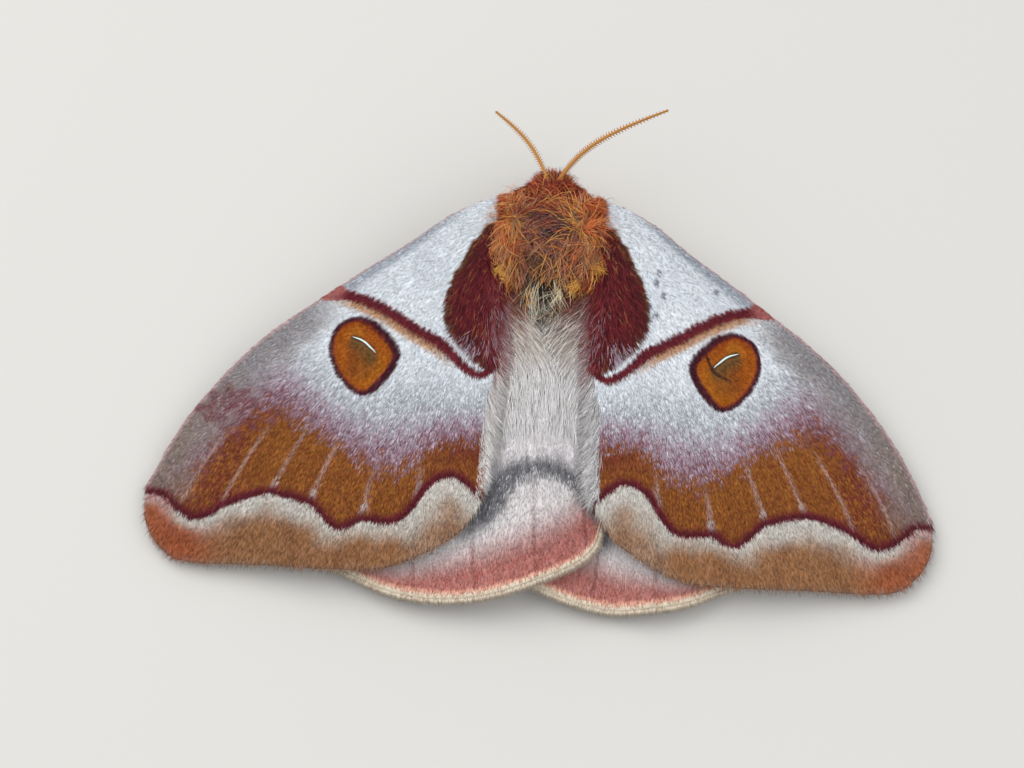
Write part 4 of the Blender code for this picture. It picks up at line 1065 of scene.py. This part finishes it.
for wing, hand in (("l", -1), ("r", 1)):
    make_inner_hair(wing, hand)
    make_meeting_hair(wing, hand)
    make_slit(wing, hand)
    make_hind_coat(wing, hand)
    make_hind_hair(wing, hand)
    make_fringe("hindwing_fringe_" + wing, hind_surface(hand), hand, FRINGE_COUNT, 0.85,
                ((220, 208, 188), (188, 164, 144)), "pink_scales")
    make_fringe("forewing_fringe_" + wing, fore_point, hand, FRINGE_COUNT, 0.30,
                ((140, 108, 92), (104, 76, 66)), "white_scales")

# Body: one soft hide over thorax, head, abdomen and legs, so that no seam shows between them.
# It is made of rounded forms melted together, and lies inside the solids by the depth of the fur.
# Its own colour is the shadowed colour of the fur above it.
THORAX_PARTS = [((0, 0.2, 6.0), (4.1, 5.2, 3.4), 2.2), ((0, -0.4, 8.2), (5.1, 5.4, 2.6), 2.1),
                ((0, -4.4, 8.0), (2.5, 3.8, 2.0), 2.1), ((0, 3.9, 7.7), (4.0, 3.1, 2.0), 2.0),
                ((-3.2, 1.2, 9.0), (1.4, 2.7, 1.5), 2.0), ((3.1, 1.2, 9.0), (1.5, 2.8, 1.5), 2.0)]
HEAD_PARTS = [((0, 7.1, 4.9), (2.0, 1.7, 2.0), 2.3), ((0, 7.0, 6.0), (1.45, 1.35, 1.0), 2.0),
              ((0, 8.4, 4.0), (0.9, 0.6, 0.8), 2.2)]
ABDOMEN = [(-3.0, 3.4, 6.0), (-8.0, 3.7, 6.2), (-14.0, 3.6, 5.6), (-19.0, 3.3, 5.0), (-23.5, 2.7, 4.3),
           (-26.6, 1.9, 3.5), (-28.1, 0.9, 2.7)]
RINGS_FROM, RING_STEP = -6.5, 2.9
LEG_ROOT_X = 4.5
LEGS = [("fore", 4.0, (7.0, 6.0, 4.2), (8.2, 6.6, 0.9), (9.6, 5.2, 0.26)),
        ("mid", 0.4, (8.2, 1.0, 4.2), (10.4, 0.4, 0.9), (13.2, -1.2, 0.26)),
        ("hind", -3.6, (8.2, -7.6, 3.8), (9.8, -13.0, 0.9), (11.2, -17.0, 0.26))]
HIDE_VOXEL = 0.19
FUR_HIDE = painted_material("fur_hide", 0.85, bump=0.6, grain=7000.0, detail=0.2)


def blob_mesh(centre, radii, power):
    bm = bmesh.new()
    bmesh.ops.create_uvsphere(bm, u_segments=48, v_segments=32, radius=1.0)
    for vert in bm.verts:
        d = vert.co
        size = (abs(d.x) ** power + abs(d.y) ** power + abs(d.z) ** power) ** (-1 / power)
        vert.co = Vector([c + r * v * size for c, r, v in zip(centre, radii, d)])
    points = np.array([v.co for v in bm.verts])
    faces = [[v.index for v in f.verts] for f in bm.faces]
    bm.free()
    return points, faces


def leg_path(spec, side, count=40):
    _, root_y, knee, ankle, toe = spec
    root = np.array((LEG_ROOT_X - 1.6, root_y, 3.6))
    joints = [root, root + (2.8, 0, 0.1), knee, ankle, toe]
    path = curve_through(joints)(np.linspace(0, 1, count))
    return path * (side, 1, 1)


def abdomen_forms():
    spine = curve_points([(y, w, t) for y, w, t in ABDOMEN], 14)
    path, radii = [], []
    for y, half, top in spine:
        bulge = 1 - 0.035 * abs(math.sin(math.pi * (y - RINGS_FROM) / RING_STEP)) ** 0.5 + 0.03
        path.append((0.0, y, (top + 0.35) / 2))
        radii.append((half * bulge, (top - 0.35) / 2 * bulge))
    path, radii = np.array(path), np.array(radii)
    points, faces = tube_mesh(path, np.ones(len(path)), 32)
    ring = points.reshape(len(path), 32, 3) - path[:, None]
    ring[..., 0] *= radii[:, None, 0]
    ring[..., 2] *= radii[:, None, 1]
    return (ring + path[:, None]).reshape(-1, 3), faces


def body_forms():
    forms = [blob_mesh(*part) for part in THORAX_PARTS + HEAD_PARTS]
    forms.append(abdomen_forms())
    for side in (-1, 1):
        for spec in LEGS:
            path = leg_path(spec, side)
            along = np.linspace(0, 1, len(path))
            radii = 0.60 - 0.36 * along - 0.10 * ease(0.55, 0.75, along)
            forms.append(tube_mesh(path, np.maximum(radii, 0.15)))
        start = np.array((side * 0.75, 8.5, 3.9))
        reach = np.linspace(0, 1, 12)[:, None] * np.array((0, 1.95, -1.05))
        forms.append(tube_mesh(start + reach, 0.36 - 0.16 * np.linspace(0, 1, 12) ** 3))
    points, faces, count = [], [], 0
    for p, f in forms:
        points.append(p)
        faces += [[i + count for i in face] for face in f]
        count += len(p)
    return np.vstack(points), faces


def melted(points, faces, voxel):
    """The outer skin of all the forms together, evened out."""
    mesh = bpy.data.meshes.new("forms")
    mesh.from_pydata([tuple(p) for p in points], [], faces)
    obj = bpy.data.objects.new("forms", mesh)
    bpy.context.scene.collection.objects.link(obj)
    remesh = obj.modifiers.new("melt", "REMESH")
    remesh.mode = "VOXEL"
    remesh.voxel_size = voxel
    soften = obj.modifiers.new("soften", "SMOOTH")
    soften.factor = 0.5
    soften.iterations = 5
    bpy.context.view_layer.update()
    made = obj.evaluated_get(bpy.context.evaluated_depsgraph_get()).to_mesh()
    co = np.empty(len(made.vertices) * 3, np.float32)
    made.vertices.foreach_get("co", co)
    quads = np.array([p.vertices[:] for p in made.polygons if len(p.vertices) == 4], np.int32)
    bpy.data.objects.remove(obj)
    bpy.data.meshes.remove(mesh)
    return co.reshape(-1, 3).astype(float), quads


def body_zone(p):
    """Shares of head, legs, abdomen and underside at each point of the body."""
    x, y, z = np.abs(p[:, 0]), p[:, 1], p[:, 2]
    head = ease(5.2, 5.9, y) * ease(7.8, 7.0, z) * (x < 3.0)
    legs = np.maximum(ease(4.2, 4.7, x) * ease(5.6, 5.0, z), (z < 1.0) * (x > 3.9) * 1.0)
    abdomen = ease(-4.5, -6.0, y) * ease(7.2, 6.4, z) * (1 - legs)
    under = ease(7.2, 5.8, z) * (1 - legs) * (1 - head) * (1 - abdomen)
    return head, legs, abdomen, under


WHORLS = [(-4.1, 0.9), (3.2, 0.4)]
FUR = {"rufous": (168, 72, 47), "deep": (128, 46, 30), "orange": (206, 112, 62), "gold": (224, 162, 86),
       "rose": (150, 100, 88), "hollow_shade": (62, 50, 58), "tan": (178, 134, 100), "black": (44, 38, 36),
       "cream": (220, 208, 178), "white": (230, 228, 222), "smoke": (112, 108, 104), "leg": (150, 96, 80),
       "bark": (112, 78, 58), "belly": (206, 186, 170), "wine": (112, 36, 46)}


def picked(colours, draw, *names):
    """Gives hairs the named fur colours one after the other, each with its chance."""
    for name, chance in names:
        chosen = draw.random(len(colours)) < chance
        colours = np.where(chosen[:, None], linear(FUR[name])[None], colours)
    return colours


def paint_body(p, draw):
    """Colour of the body's fur, hair by hair, at each point of the hide."""
    x, y = np.abs(p[:, 0] + 0.3) + draw.normal(0, 0.25, len(p)), p[:, 1] + draw.normal(0, 0.3, len(p))
    head, legs, abdomen, under = body_zone(p)
    colour = even(FUR["rufous"], len(p))
    colour = picked(colour, draw,
        ("deep", 0.34 + 0.56 * ease(2.0, 4.0, y) * ease(4.8, 2.8, x)),
        ("orange", 0.34 - 0.24 * ease(2.6, 4.4, y)),
        ("gold", 0.10 * ease(4.0, 2.0, y) + 0.10 * ease(3.0, 4.4, x)))
    near = np.min([np.hypot(p[:, 0] - cx, p[:, 1] - cy) for cx, cy in WHORLS], axis=0)
    colour = picked(colour, draw,
        ("orange", 0.62 * ease(3.4, 1.4, near)),
        ("tan", 0.40 * ease(3.0, 1.4, near)),
        ("gold", 0.20 * ease(3.0, 1.0, near)))
    colour = colour * (1 + 0.22 * ease(3.4, 1.6, near))[:, None]
    colour = picked(colour, draw, ("rose", 0.80 * ease(3.6, 1.6, x) * ease(2.4, 0.3, y)))
    # Dark hair in the hollow between the two whorls: painted shade of the hollow.
    hollow = ease(1.7, 0.4, x) * ease(3.2, 1.6, y) * ease(-3.4, -1.8, y)
    colour = picked(colour, draw,
        ("hollow_shade", 0.85 * hollow),
        ("tan", 0.45 * ease(-0.6, -2.6, y)),
        ("bark", 0.65 * ease(-0.8, -2.4, y) * ease(2.8, 1.4, x)),
        ("wine", 0.75 * ease(2.1, 3.4, x) * ease(-2.6, -4.4, y)),
        ("gold", 0.12 * ease(-1.0, -3.0, y) * ease(-6.5, -4.5, y)),
        ("wine", 0.7 * ease(1.8, 2.6, x) * ease(-4.4, -5.6, y)),
        ("black", 0.8 * ease(1.9, 1.0, x) * ease(-3.2, -4.2, y)),
        ("cream", 0.5 * ease(0.2, 1.0, x) * ease(2.5, 1.8, x) * ease(-3.4, -4.8, y)),
        ("smoke", 0.40 * ease(-5.6, -6.6, y) * ease(2.2, 1.4, x)),
        ("white", 0.25 * ease(-5.6, -7.0, y) * ease(2.2, 1.4, x)),
        ("deep", 0.6 * head),
        ("leg", 0.9 * legs),
        ("deep", 0.25 * legs),
        ("belly", abdomen))
    ring = np.sin(math.pi * (p[:, 1] - RINGS_FROM) / RING_STEP) ** 2
    colour = picked(colour, draw,
        ("smoke", 0.55 * abdomen * ease(0.25, 0.0, ring)),
        ("rose", 0.25 * abdomen),
        ("rose", 0.8 * under),
        ("belly", 0.5 * under))
    return colour


def make_body():
    points, faces = body_forms()
    points, quads = melted(points, faces, HIDE_VOXEL * (1))
    colours = paint_body(points, np.random.default_rng(11)) * 0.45
    nodes = ["thorax", "head", "abdomen", "palp_l", "palp_r"]
    nodes += ["leg_" + spec[0] + "_" + wing for spec in LEGS for wing in "lr"]
    mesh_piece("body_hide", points, quads, colours, FUR_HIDE, "rufous_fur", nodes)
    return points, quads


BODY_POINTS, BODY_QUADS = make_body()


def spread_on_body(count, weight, draw):
    """Random roots on the hide, denser where the weight is high, with their normals."""
    a, b, c, d = [BODY_POINTS[BODY_QUADS[:, k]] for k in range(4)]
    face_normal = np.cross(c - a, d - b)
    area = np.linalg.norm(face_normal, axis=1)
    chance = area * weight((a + b + c + d) / 4)
    chosen = draw.choice(len(chance), count, p=chance / chance.sum())
    u, v = draw.random((2, count, 1))
    roots = (a[chosen] * (1 - u) + b[chosen] * u) * (1 - v) + (d[chosen] * (1 - u) + c[chosen] * u) * v
    return roots, unit(face_normal[chosen])


def body_spots(roots):
    """The hide's unwrap: round the body across, along the body up."""
    turn = np.arctan2(roots[:, 0], roots[:, 2] - 5.0) / (2 * math.pi) + 0.5
    return np.column_stack([turn, (roots[:, 1] + 30) / 44]) * 0.99


# Thorax fur: long rufous hair in two whorls above the wing roots, crossing over the back.
# Golden hair lies over it, the hollow in the middle has its shade painted into the hair, and cream hair runs
# out behind.
# Every hair is a closed taper rooted in the hide and combed along the whorls.
UNDER_FUR = 10000
LONG_FUR = 8800
GOLD_FUR = 500
YELLOW_TUFTS = [(-4.0, -3.2, -0.80, -0.7), (-2.9, -4.6, -0.90, -0.4), (3.8, -3.2, 0.95, -0.40),
                (3.0, -4.4, -0.7, -0.7), (2.7, -5.0, -0.3, -0.9)]
TUFT_HAIRS = 44
LOCK_HAIRS = 10
SHOULDER_HAIRS = 500
FUR_HAIR = painted_material("fur_hair", 0.6, detail=0.05)


def comb(roots, normal):
    """The lie of the thorax fur: out of each whorl, forward at the collar and back over the rump."""
    x, y = roots[:, 0], roots[:, 1]
    centre = np.where((x < -0.2)[:, None], np.array([WHORLS[0]]), np.array([WHORLS[1]]))
    centre = centre + 0.55 * np.column_stack([wander(x, y, 310, 0.3), wander(x, y, 311, 0.3)])
    out = np.column_stack([x, y]) - centre
    flow = out / np.maximum(np.linalg.norm(out, axis=1, keepdims=True), 0.9) + np.array([[0.0, -0.5]])
    front = ease(1.8, 4.2, y)[:, None]
    ahead = np.column_stack([x * 0.6, 0.85 - 0.38 * np.abs(x)])
    flow = flow * (1 - front) + ahead * front
    back = ease(-2.6, -4.6, y)[:, None]
    behind = np.column_stack([x * (0.10 - 0.30 * ease(-4.5, -6.5, y)), np.full(len(x), -1.0)])
    flow = flow * (1 - back) + behind * back
    stray = 0.75 * wander(x, y, 300, 0.9) * (1 - 0.6 * back[:, 0])
    flow = unit(np.column_stack([flow, -0.05 * np.ones(len(x))]))
    way = laid(flow, normal)
    return turned(way, normal, stray)


def thorax_weight(p):
    head, legs, abdomen, under = body_zone(p)
    return np.clip(1 - head - legs - abdomen - 0.9 * under, 0, 1) * (p[:, 2] > 5.5)


def make_thorax_fur(name, count, k, length, width, lift, spread, seed, only=None):
    draw = np.random.default_rng(seed)
    count = fewer(count)
    roots, normal = spread_on_body(count, thorax_weight, draw)
    heads = draw.choice(count, max(count // LOCK_HAIRS, 1), replace=False)
    lock = np.array([((roots[heads] - r) ** 2).sum(axis=1).argmin() for r in roots])
    x, y = np.abs(roots[:, 0]), roots[:, 1]
    rear = ease(-3.6, -5.0, y)
    turn = draw.normal(0, spread, len(heads))[lock] + draw.normal(0, 0.12, count)
    along = turned(comb(roots, normal), normal, turn * (1 - 0.4 * rear))
    front = ease(2.6, 5.0, y)
    size = draw.uniform(*length, count) * (1 - (0.55 - 0.15 * ease(2.4, 3.8, x)) * front)
    size = size * draw.uniform(0.85, 1.15, len(heads))[lock]
    rise = draw.uniform(*lift, count) * (1 - 0.3 * rear)
    path = bent(roots - normal * 0.05, along, normal, size, rise, rise * 0.9, k, draw, 0.16)
    gather = (np.linspace(0, 1, k) ** 1.4 * 0.68)[None, :, None]
    path += (roots[heads][lock] - roots)[:, None] * gather
    colours = paint_body(roots, draw)
    colours = np.where((draw.random(count) < 0.6)[:, None], paint_body(roots[heads], draw)[lock], colours)
    if only:
        pale = 0.75 * rear * ease(2.2, 1.6, x)
        colours = np.where((draw.random(count) < pale)[:, None], linear(FUR[only[1]]), linear(FUR[only[0]]))
        warm = 0.35 * (1 - rear) * (1 - front)
        colours = picked(colours, draw,
            ("orange", warm),
            ("rufous", 0.75 * front),
            ("rose", 0.6 * ease(2.4, 1.2, x) * ease(2.6, 1.6, y) * (1 - rear)))
    light = draw.uniform(0.70, 1.38, len(heads))[lock] * draw.uniform(0.86, 1.14, count)
    colours = np.clip(colours * light[:, None], 0, 1)
    long_hairs(name, path, width, normal, colours, body_spots(roots), FUR_HAIR, "rufous_fur")


def make_shoulder_tufts(suffix, side):
    """The tuft of rufous hair that covers the forewing's hinge on each side."""
    draw = np.random.default_rng(215 + side)
    count = fewer(SHOULDER_HAIRS)
    q, s = draw.random(count) ** 2.2 * 0.5, 0.001 + 0.015 * draw.random(count)
    roots, along, normal = lie_of(fore_point, q, s)
    front = ease(0.10, 0.0, q)
    roots = roots - normal * (0.28 * front * draw.random(count))[:, None]
    along = turned(along, normal, draw.normal(0.10, 0.45, count) + draw.uniform(0.0, 1.2, count) * front)
    size = draw.uniform(0.5, 1.15, count) * (1 - 0.4 * front)
    path = bent(roots - along * 0.2, along, normal, size, draw.uniform(0.2, 0.5, count), 0.3, 4, draw, 0.2)
    path[..., 2] -= (front * draw.uniform(-0.2, 0.5, count))[:, None] * np.linspace(0, 1, 4)[None, :] * 0.8
    colours = even(FUR["rufous"], count)
    colours = picked(colours, draw, ("orange", 0.45), ("tan", 0.20))
    colours = uneven(colours, 0.75, 1.25, draw)
    long_hairs("shoulder_tufts_" + suffix, path, 0.10, normal, colours,
               np.column_stack([q, s]) * 0.99, FUR_HAIR, "rufous_fur", side)


def make_yellow_tufts():
    draw = np.random.default_rng(210)
    pool, normals = spread_on_body(60000, thorax_weight, draw)
    paths, ways = [], []
    for x, y, reach_x, reach_y in YELLOW_TUFTS:
        away = np.hypot(pool[:, 0] - x, pool[:, 1] - y)
        near = away / draw.uniform(0.5, 1.0, len(pool)) + (pool[:, 2] < 9.0)
        chosen = np.argsort(near)[:TUFT_HAIRS]
        roots, normal = pool[chosen], normals[chosen]
        count = len(roots)
        way = np.tile([reach_x, reach_y, 0.0], (count, 1))
        way = laid(way, normal)
        way = turned(way, normal, draw.normal(0, 0.34, count))
        rise = draw.uniform(0.8, 1.15, count)
        paths.append(bent(roots, way, normal, draw.uniform(1.5, 2.5, count), rise, rise * 0.95, 5, draw, 0.2))
        ways.append(normal)
    path, normal = np.vstack(paths), np.vstack(ways)
    colours = np.where(draw.random((len(path), 1)) < 0.5, linear((222, 150, 60)), linear((238, 186, 94)))
    long_hairs("thorax_fur_tufts", path, 0.10, normal, colours, body_spots(path[:, 0]), FUR_HAIR,
               "rufous_fur", tip_light=1.3)


make_thorax_fur("thorax_fur_under", UNDER_FUR, 3, (1.0, 1.9), 0.13, (0.25, 0.5), 0.35, 200)
make_thorax_fur("thorax_fur_long", LONG_FUR, 5, (1.8, 3.5), 0.10, (0.25, 0.60), 0.50, 201)
make_thorax_fur("thorax_fur_gold", GOLD_FUR, 6, (2.2, 4.2), 0.11, (0.3, 0.65), 0.45, 202, ("gold", "cream"))
make_yellow_tufts()
make_shoulder_tufts("l", -1)
make_shoulder_tufts("r", 1)

# Head and face: short dense fur, longest on the crown, with the palps held forward under it.
# It radiates from between the antennae and is smallest round the eyes and on the palps.
# The hairs are rooted in the same hide as the thorax fur.
HEAD_FUR = 7500


def head_weight(p):
    return body_zone(p)[0] * (p[:, 1] > 5.4)


def make_head_fur():
    draw = np.random.default_rng(220)
    count = fewer(HEAD_FUR)
    roots, normal = spread_on_body(count, head_weight, draw)
    x, y, z = roots.T
    flow = np.column_stack([x * 0.6, 0.5 + 0.4 * ease(5.8, 6.8, z), 0.7 * ease(5.8, 6.8, z) - 0.9])
    palps = (y > 9.0)[:, None]
    flow = np.where(palps, np.array([[0.0, 0.9, -0.45]]), flow)
    along = laid(flow, normal)
    along = turned(along, normal, draw.normal(0, 0.3, count))
    by_eye = ease(1.2, 1.9, np.abs(x))
    length = draw.uniform(0.75, 1.35, count) * (1 - 0.4 * by_eye) * np.where(y > 9.0, 0.5, 1.0)
    crown = ease(5.8, 6.8, z)
    length = length * (1 + 0.7 * crown)
    rise = draw.uniform(0.25, 0.6, count) * (1 + 0.7 * crown)
    path = bent(roots - normal * 0.04, along, normal, length, rise, rise * 0.7, 3, draw, 0.2)
    colours = even(FUR["deep"], count)
    colours = picked(colours, draw,
        ("rufous", 0.45),
        ("orange", 0.3),
        ("gold", 0.08),
        ("smoke", 0.25 * ease(5.0, 3.6, z)))
    colours = uneven(colours, 0.8, 1.15, draw)
    long_hairs("head_fur", path, 0.09, normal, colours, body_spots(roots), FUR_HAIR, "rufous_fur")


make_head_fur()

# Eyes: bulging compound eyes at the sides of the head, dark and shiny under the fur.
# Each is a rounded form covered by a fine honeycomb of facets.
# The facets are a cell pattern in colour and bump, finer than a tenth of a millimetre.
EYE_CENTRE = (2.2, 7.6, 4.6)
EYE_RADII = (0.82, 1.03, 1.13)
FACET_SCALE = 12000.0


def eye_material():
    material = bpy.data.materials.new("compound_eye")
    material.use_nodes = True
    tree = material.node_tree
    shader = tree.nodes["Principled BSDF"]
    shader.inputs["Roughness"].default_value = 0.22
    shader.inputs["Specular IOR Level"].default_value = 0.30
    place = tree.nodes.new("ShaderNodeTexCoord")
    cells = tree.nodes.new("ShaderNodeTexVoronoi")
    cells.inputs["Scale"].default_value = FACET_SCALE
    tree.links.new(place.outputs["Object"], cells.inputs["Vector"])
    ramp = tree.nodes.new("ShaderNodeValToRGB")
    ramp.color_ramp.elements[0].color = (0.022, 0.011, 0.008, 1)
    ramp.color_ramp.elements[1].color = (0.004, 0.003, 0.003, 1)
    tree.links.new(cells.outputs["Distance"], ramp.inputs["Fac"])
    tree.links.new(ramp.outputs["Color"], shader.inputs["Base Color"])
    relief = tree.nodes.new("ShaderNodeBump")
    relief.inputs["Strength"].default_value = 0.5
    relief.inputs["Distance"].default_value = 0.00002
    relief.invert = True
    tree.links.new(cells.outputs["Distance"], relief.inputs["Height"])
    tree.links.new(relief.outputs["Normal"], shader.inputs["Normal"])
    return material


def grid_ball(centre, radii, rings=36, sides=48):
    """A rounded form in four-sided faces, with both poles closed by small faces."""
    polar = np.linspace(0.02, math.pi - 0.02, rings)[:, None]
    turn = np.linspace(0, 2 * math.pi, sides, endpoint=False)[None, :]
    way = [np.cos(polar) + 0 * turn, np.sin(polar) * np.cos(turn), np.sin(polar) * np.sin(turn)]
    way = np.stack(way, axis=-1)
    points = (way * radii + centre).reshape(-1, 3)
    faces = []
    for r in range(rings - 1):
        for c in range(sides):
            d = (c + 1) % sides
            faces.append([r * sides + c, (r + 1) * sides + c, (r + 1) * sides + d, r * sides + d])
    for ring, flip in ((0, 1), (rings - 1, -1)):
        loop = [ring * sides + c for c in range(sides)][::flip]
        faces += [[loop[0], loop[i], loop[i + 1], loop[i + 2]] for i in range(1, sides - 2, 2)]
    return points, np.array(faces)


EYE_SURFACE = eye_material()
for wing, hand in (("l", -1), ("r", 1)):
    ball, ball_faces = grid_ball(np.array((EYE_CENTRE[0] * hand, *EYE_CENTRE[1:])), np.array(EYE_RADII))
    mesh_piece("eye_surface_" + wing, ball, ball_faces, None, EYE_SURFACE, "eye_black", ("eye_" + wing,))

# Antennae: thin golden-brown shafts with short side teeth, as in a female, swept forward and out.
# The shaft is a jointed taper, and its teeth are fine closed spikes along both edges.
# Both take their colour from the mesh, darker at each joint.
ANTENNA_BASE = (0.7, 7.75, 7.75)
ANTENNA_REACH = {"l": (-5.65, 8.8, -2.0), "r": (10.65, 7.15, 2.25)}
ANTENNA_BOW = {"l": (0.7, 0.1, 0.3), "r": (-1.7, 0.0, 0.25)}
ANTENNA_JOINTS = {"l": 30, "r": 46}
ANTENNA_HALF = ((0.0, 0.15), (0.35, 0.165), (0.75, 0.15), (1.0, 0.115))
SCAPE_FOOT = (0.62, 7.30, 6.60)
TOOTH_LENGTH = 0.34
SHAFT_COLOUR, TOOTH_COLOUR = (194, 132, 60), (190, 126, 56)


def antenna_path(suffix, side, count):
    share = np.linspace(0, 1, count)[:, None]
    base = np.array((side * ANTENNA_BASE[0], ANTENNA_BASE[1], ANTENNA_BASE[2]))
    bow = np.array(ANTENNA_BOW[suffix]) * np.sin(math.pi * share)
    return base + np.array(ANTENNA_REACH[suffix]) * share + bow


def make_antenna(suffix, side):
    draw = np.random.default_rng(230 + side)
    joints = ANTENNA_JOINTS[suffix]
    count = joints * 8 + 1
    path = antenna_path(suffix, side, count)
    share = np.linspace(0, 1, count)
    joint = np.abs(np.sin(math.pi * share * joints))
    radii = np.interp(share, *zip(*ANTENNA_HALF)) * (0.82 + 0.18 * joint)
    radii = radii * (1 + 0.35 * ease(0.05, 0.0, share)) * ease(1.02, 0.985, share) ** 0.5
    points, faces = tube_mesh(path, radii, 12)
    foot = np.array((side * SCAPE_FOOT[0], SCAPE_FOOT[1], SCAPE_FOOT[2]))
    rise = np.linspace(0, 1, 9)
    scape = foot + (path[2] - foot) * rise[:, None]
    bulb, bulb_faces = tube_mesh(scape, 0.30 + 0.06 * np.sin(math.pi * rise) - 0.08 * rise ** 4, 12)
    faces += [[i + len(points) for i in face] for face in bulb_faces]
    points = np.vstack([points, bulb])
    joint, share = np.append(joint, np.full(9, 0.4)), np.append(share, np.zeros(9))
    shade = np.repeat(0.62 + 0.38 * joint, 12)[:, None]
    colours = linear(SHAFT_COLOUR)[None] * shade * (1 - 0.15 * np.repeat(share, 12))[:, None]
    mesh_piece("antenna_shaft_" + suffix, points, four_sided(faces), colours, FUR_HAIR, "antenna_gold",
               ("antenna_" + suffix,))
    at = np.repeat((np.arange(joints) + 0.5) / joints, 4)
    spots = np.clip(np.round(at * (count - 1)).astype(int), 1, count - 2)
    way = unit(path[spots + 1] - path[spots - 1])
    edge = unit(np.cross(way, np.array((0.0, -0.44, 0.9))))
    hand_of = np.tile([1, 1, -1, -1], joints)[:, None]
    ahead = np.tile([0.55, 0.30, 0.55, 0.30], joints)[:, None]
    out = unit(edge * hand_of + way * ahead)
    size = TOOTH_LENGTH * np.sin(math.pi * np.clip(at * 0.82 + 0.14, 0, 1)) ** 0.6
    above = unit(np.cross(out, way)) * hand_of
    teeth = bent(path[spots], out, above, size + radii[spots], 0.06, 0.12, 4, draw, 0.05)
    colours = linear(TOOTH_COLOUR)[None] * draw.uniform(0.8, 1.15, len(teeth))[:, None]
    long_hairs("antenna_teeth_" + suffix, teeth, 0.16, above, colours, np.column_stack([at, at * 0 + 0.5]),
               FUR_HAIR, "antenna_gold", tip_light=1.05, root_light=0.9)


for wing, hand in (("l", -1), ("r", 1)):
    make_antenna(wing, hand)

# Abdomen and legs: short fur over the belly's rings, and short scales on the legs.
# The abdomen's fur lies backward and the legs' scales lie towards the feet.
# They are flat tapers rooted in the hide, with two small dark claws on each foot.
BELLY_TUFTS = 12000
LEG_TUFTS = 10000
CLAW_LENGTH = 0.55
CLAW_COLOUR = (52, 34, 26)


def make_belly_coat():
    draw = np.random.default_rng(240)
    count = fewer(BELLY_TUFTS)
    roots, normal = spread_on_body(count, lambda p: body_zone(p)[2] + 0.8 * body_zone(p)[3], draw)
    flow = np.tile([0.0, -1.0, -0.15], (count, 1))
    along = laid(flow, normal)
    along = turned(along, normal, draw.normal(0, 0.25, count))
    colours = uneven(paint_body(roots, draw), 0.85, 1.12, draw)
    length, lift = draw.uniform(0.8, 1.4, count), draw.uniform(0.05, 0.25, count)
    clear = roots[:, 2] + np.minimum(along[:, 2] * length + normal[:, 2] * lift, 0) > 0.12
    parts = [v[clear] for v in (roots, along, normal, length, draw.uniform(0.12, 0.2, count), lift, colours)]
    flat_tufts("belly_coat", *parts, body_spots(roots)[clear], FUR_HAIR, "cream_fur")


def leg_weight(p):
    legs = body_zone(p)[1]
    return legs * (1 + 1.5 * (p[:, 2] > 0.6))


def make_leg_coat():
    draw = np.random.default_rng(250)
    count = fewer(LEG_TUFTS)
    roots, normal = spread_on_body(count, leg_weight, draw)
    lines = np.vstack([leg_path(spec, side) for side in (-1, 1) for spec in LEGS])
    ways = np.vstack([np.gradient(leg_path(spec, side), axis=0) for side in (-1, 1) for spec in LEGS])
    nearest = np.array([((lines - r) ** 2).sum(axis=1).argmin() for r in roots])
    flow = unit(ways[nearest])
    along = laid(flow, normal)
    along = turned(along, normal, draw.normal(0, 0.22, count))
    shoe = ease(1.2, 0.4, roots[:, 2])
    colours = uneven(paint_body(roots, draw), 0.8, 1.12, draw)
    length = draw.uniform(0.45, 0.8, count) * (1 - 0.55 * shoe)
    lift = draw.uniform(0.05, 0.14, count) * (1 - 0.5 * shoe)
    stay = roots[:, 2] > 0.12
    parts = [v[stay] for v in (roots, along, normal, length, 0.10 - 0.03 * shoe, lift, colours)]
    flat_tufts("leg_coat", *parts, body_spots(roots)[stay], FUR_HAIR, "leg_fur")


def make_claws():
    toes = [(np.array(spec[4]), leg_path(spec, 1)) for spec in LEGS]
    paths, ups = [], []
    for side in (-1, 1):
        for toe, path in toes:
            way = unit((path[-1] - path[-3])[None])[0] * (side, 1, 0)
            across = np.array((-way[1], way[0], 0.0))
            for fork in (-1, 1):
                start = toe * (side, 1, 1) - way * 0.1 + across * 0.07 * fork
                share = np.linspace(0, 1, 7)[:, None]
                hook = way * CLAW_LENGTH * share + across * 0.12 * fork * share
                paths.append(start + hook + (0, 0, 0.10) - np.array((0, 0, 0.28)) * share ** 2)
                ups.append((0, 0, 1))
    path = np.array(paths)
    path[:, :, 2] = np.maximum(path[:, :, 2], 0.05)
    colours = even(CLAW_COLOUR, len(path))
    long_hairs("claws", path, 0.13, np.array(ups, float), colours, np.full((len(path), 2), 0.5), FUR_HAIR,
               "leg_fur")


make_belly_coat()
make_leg_coat()
make_claws()
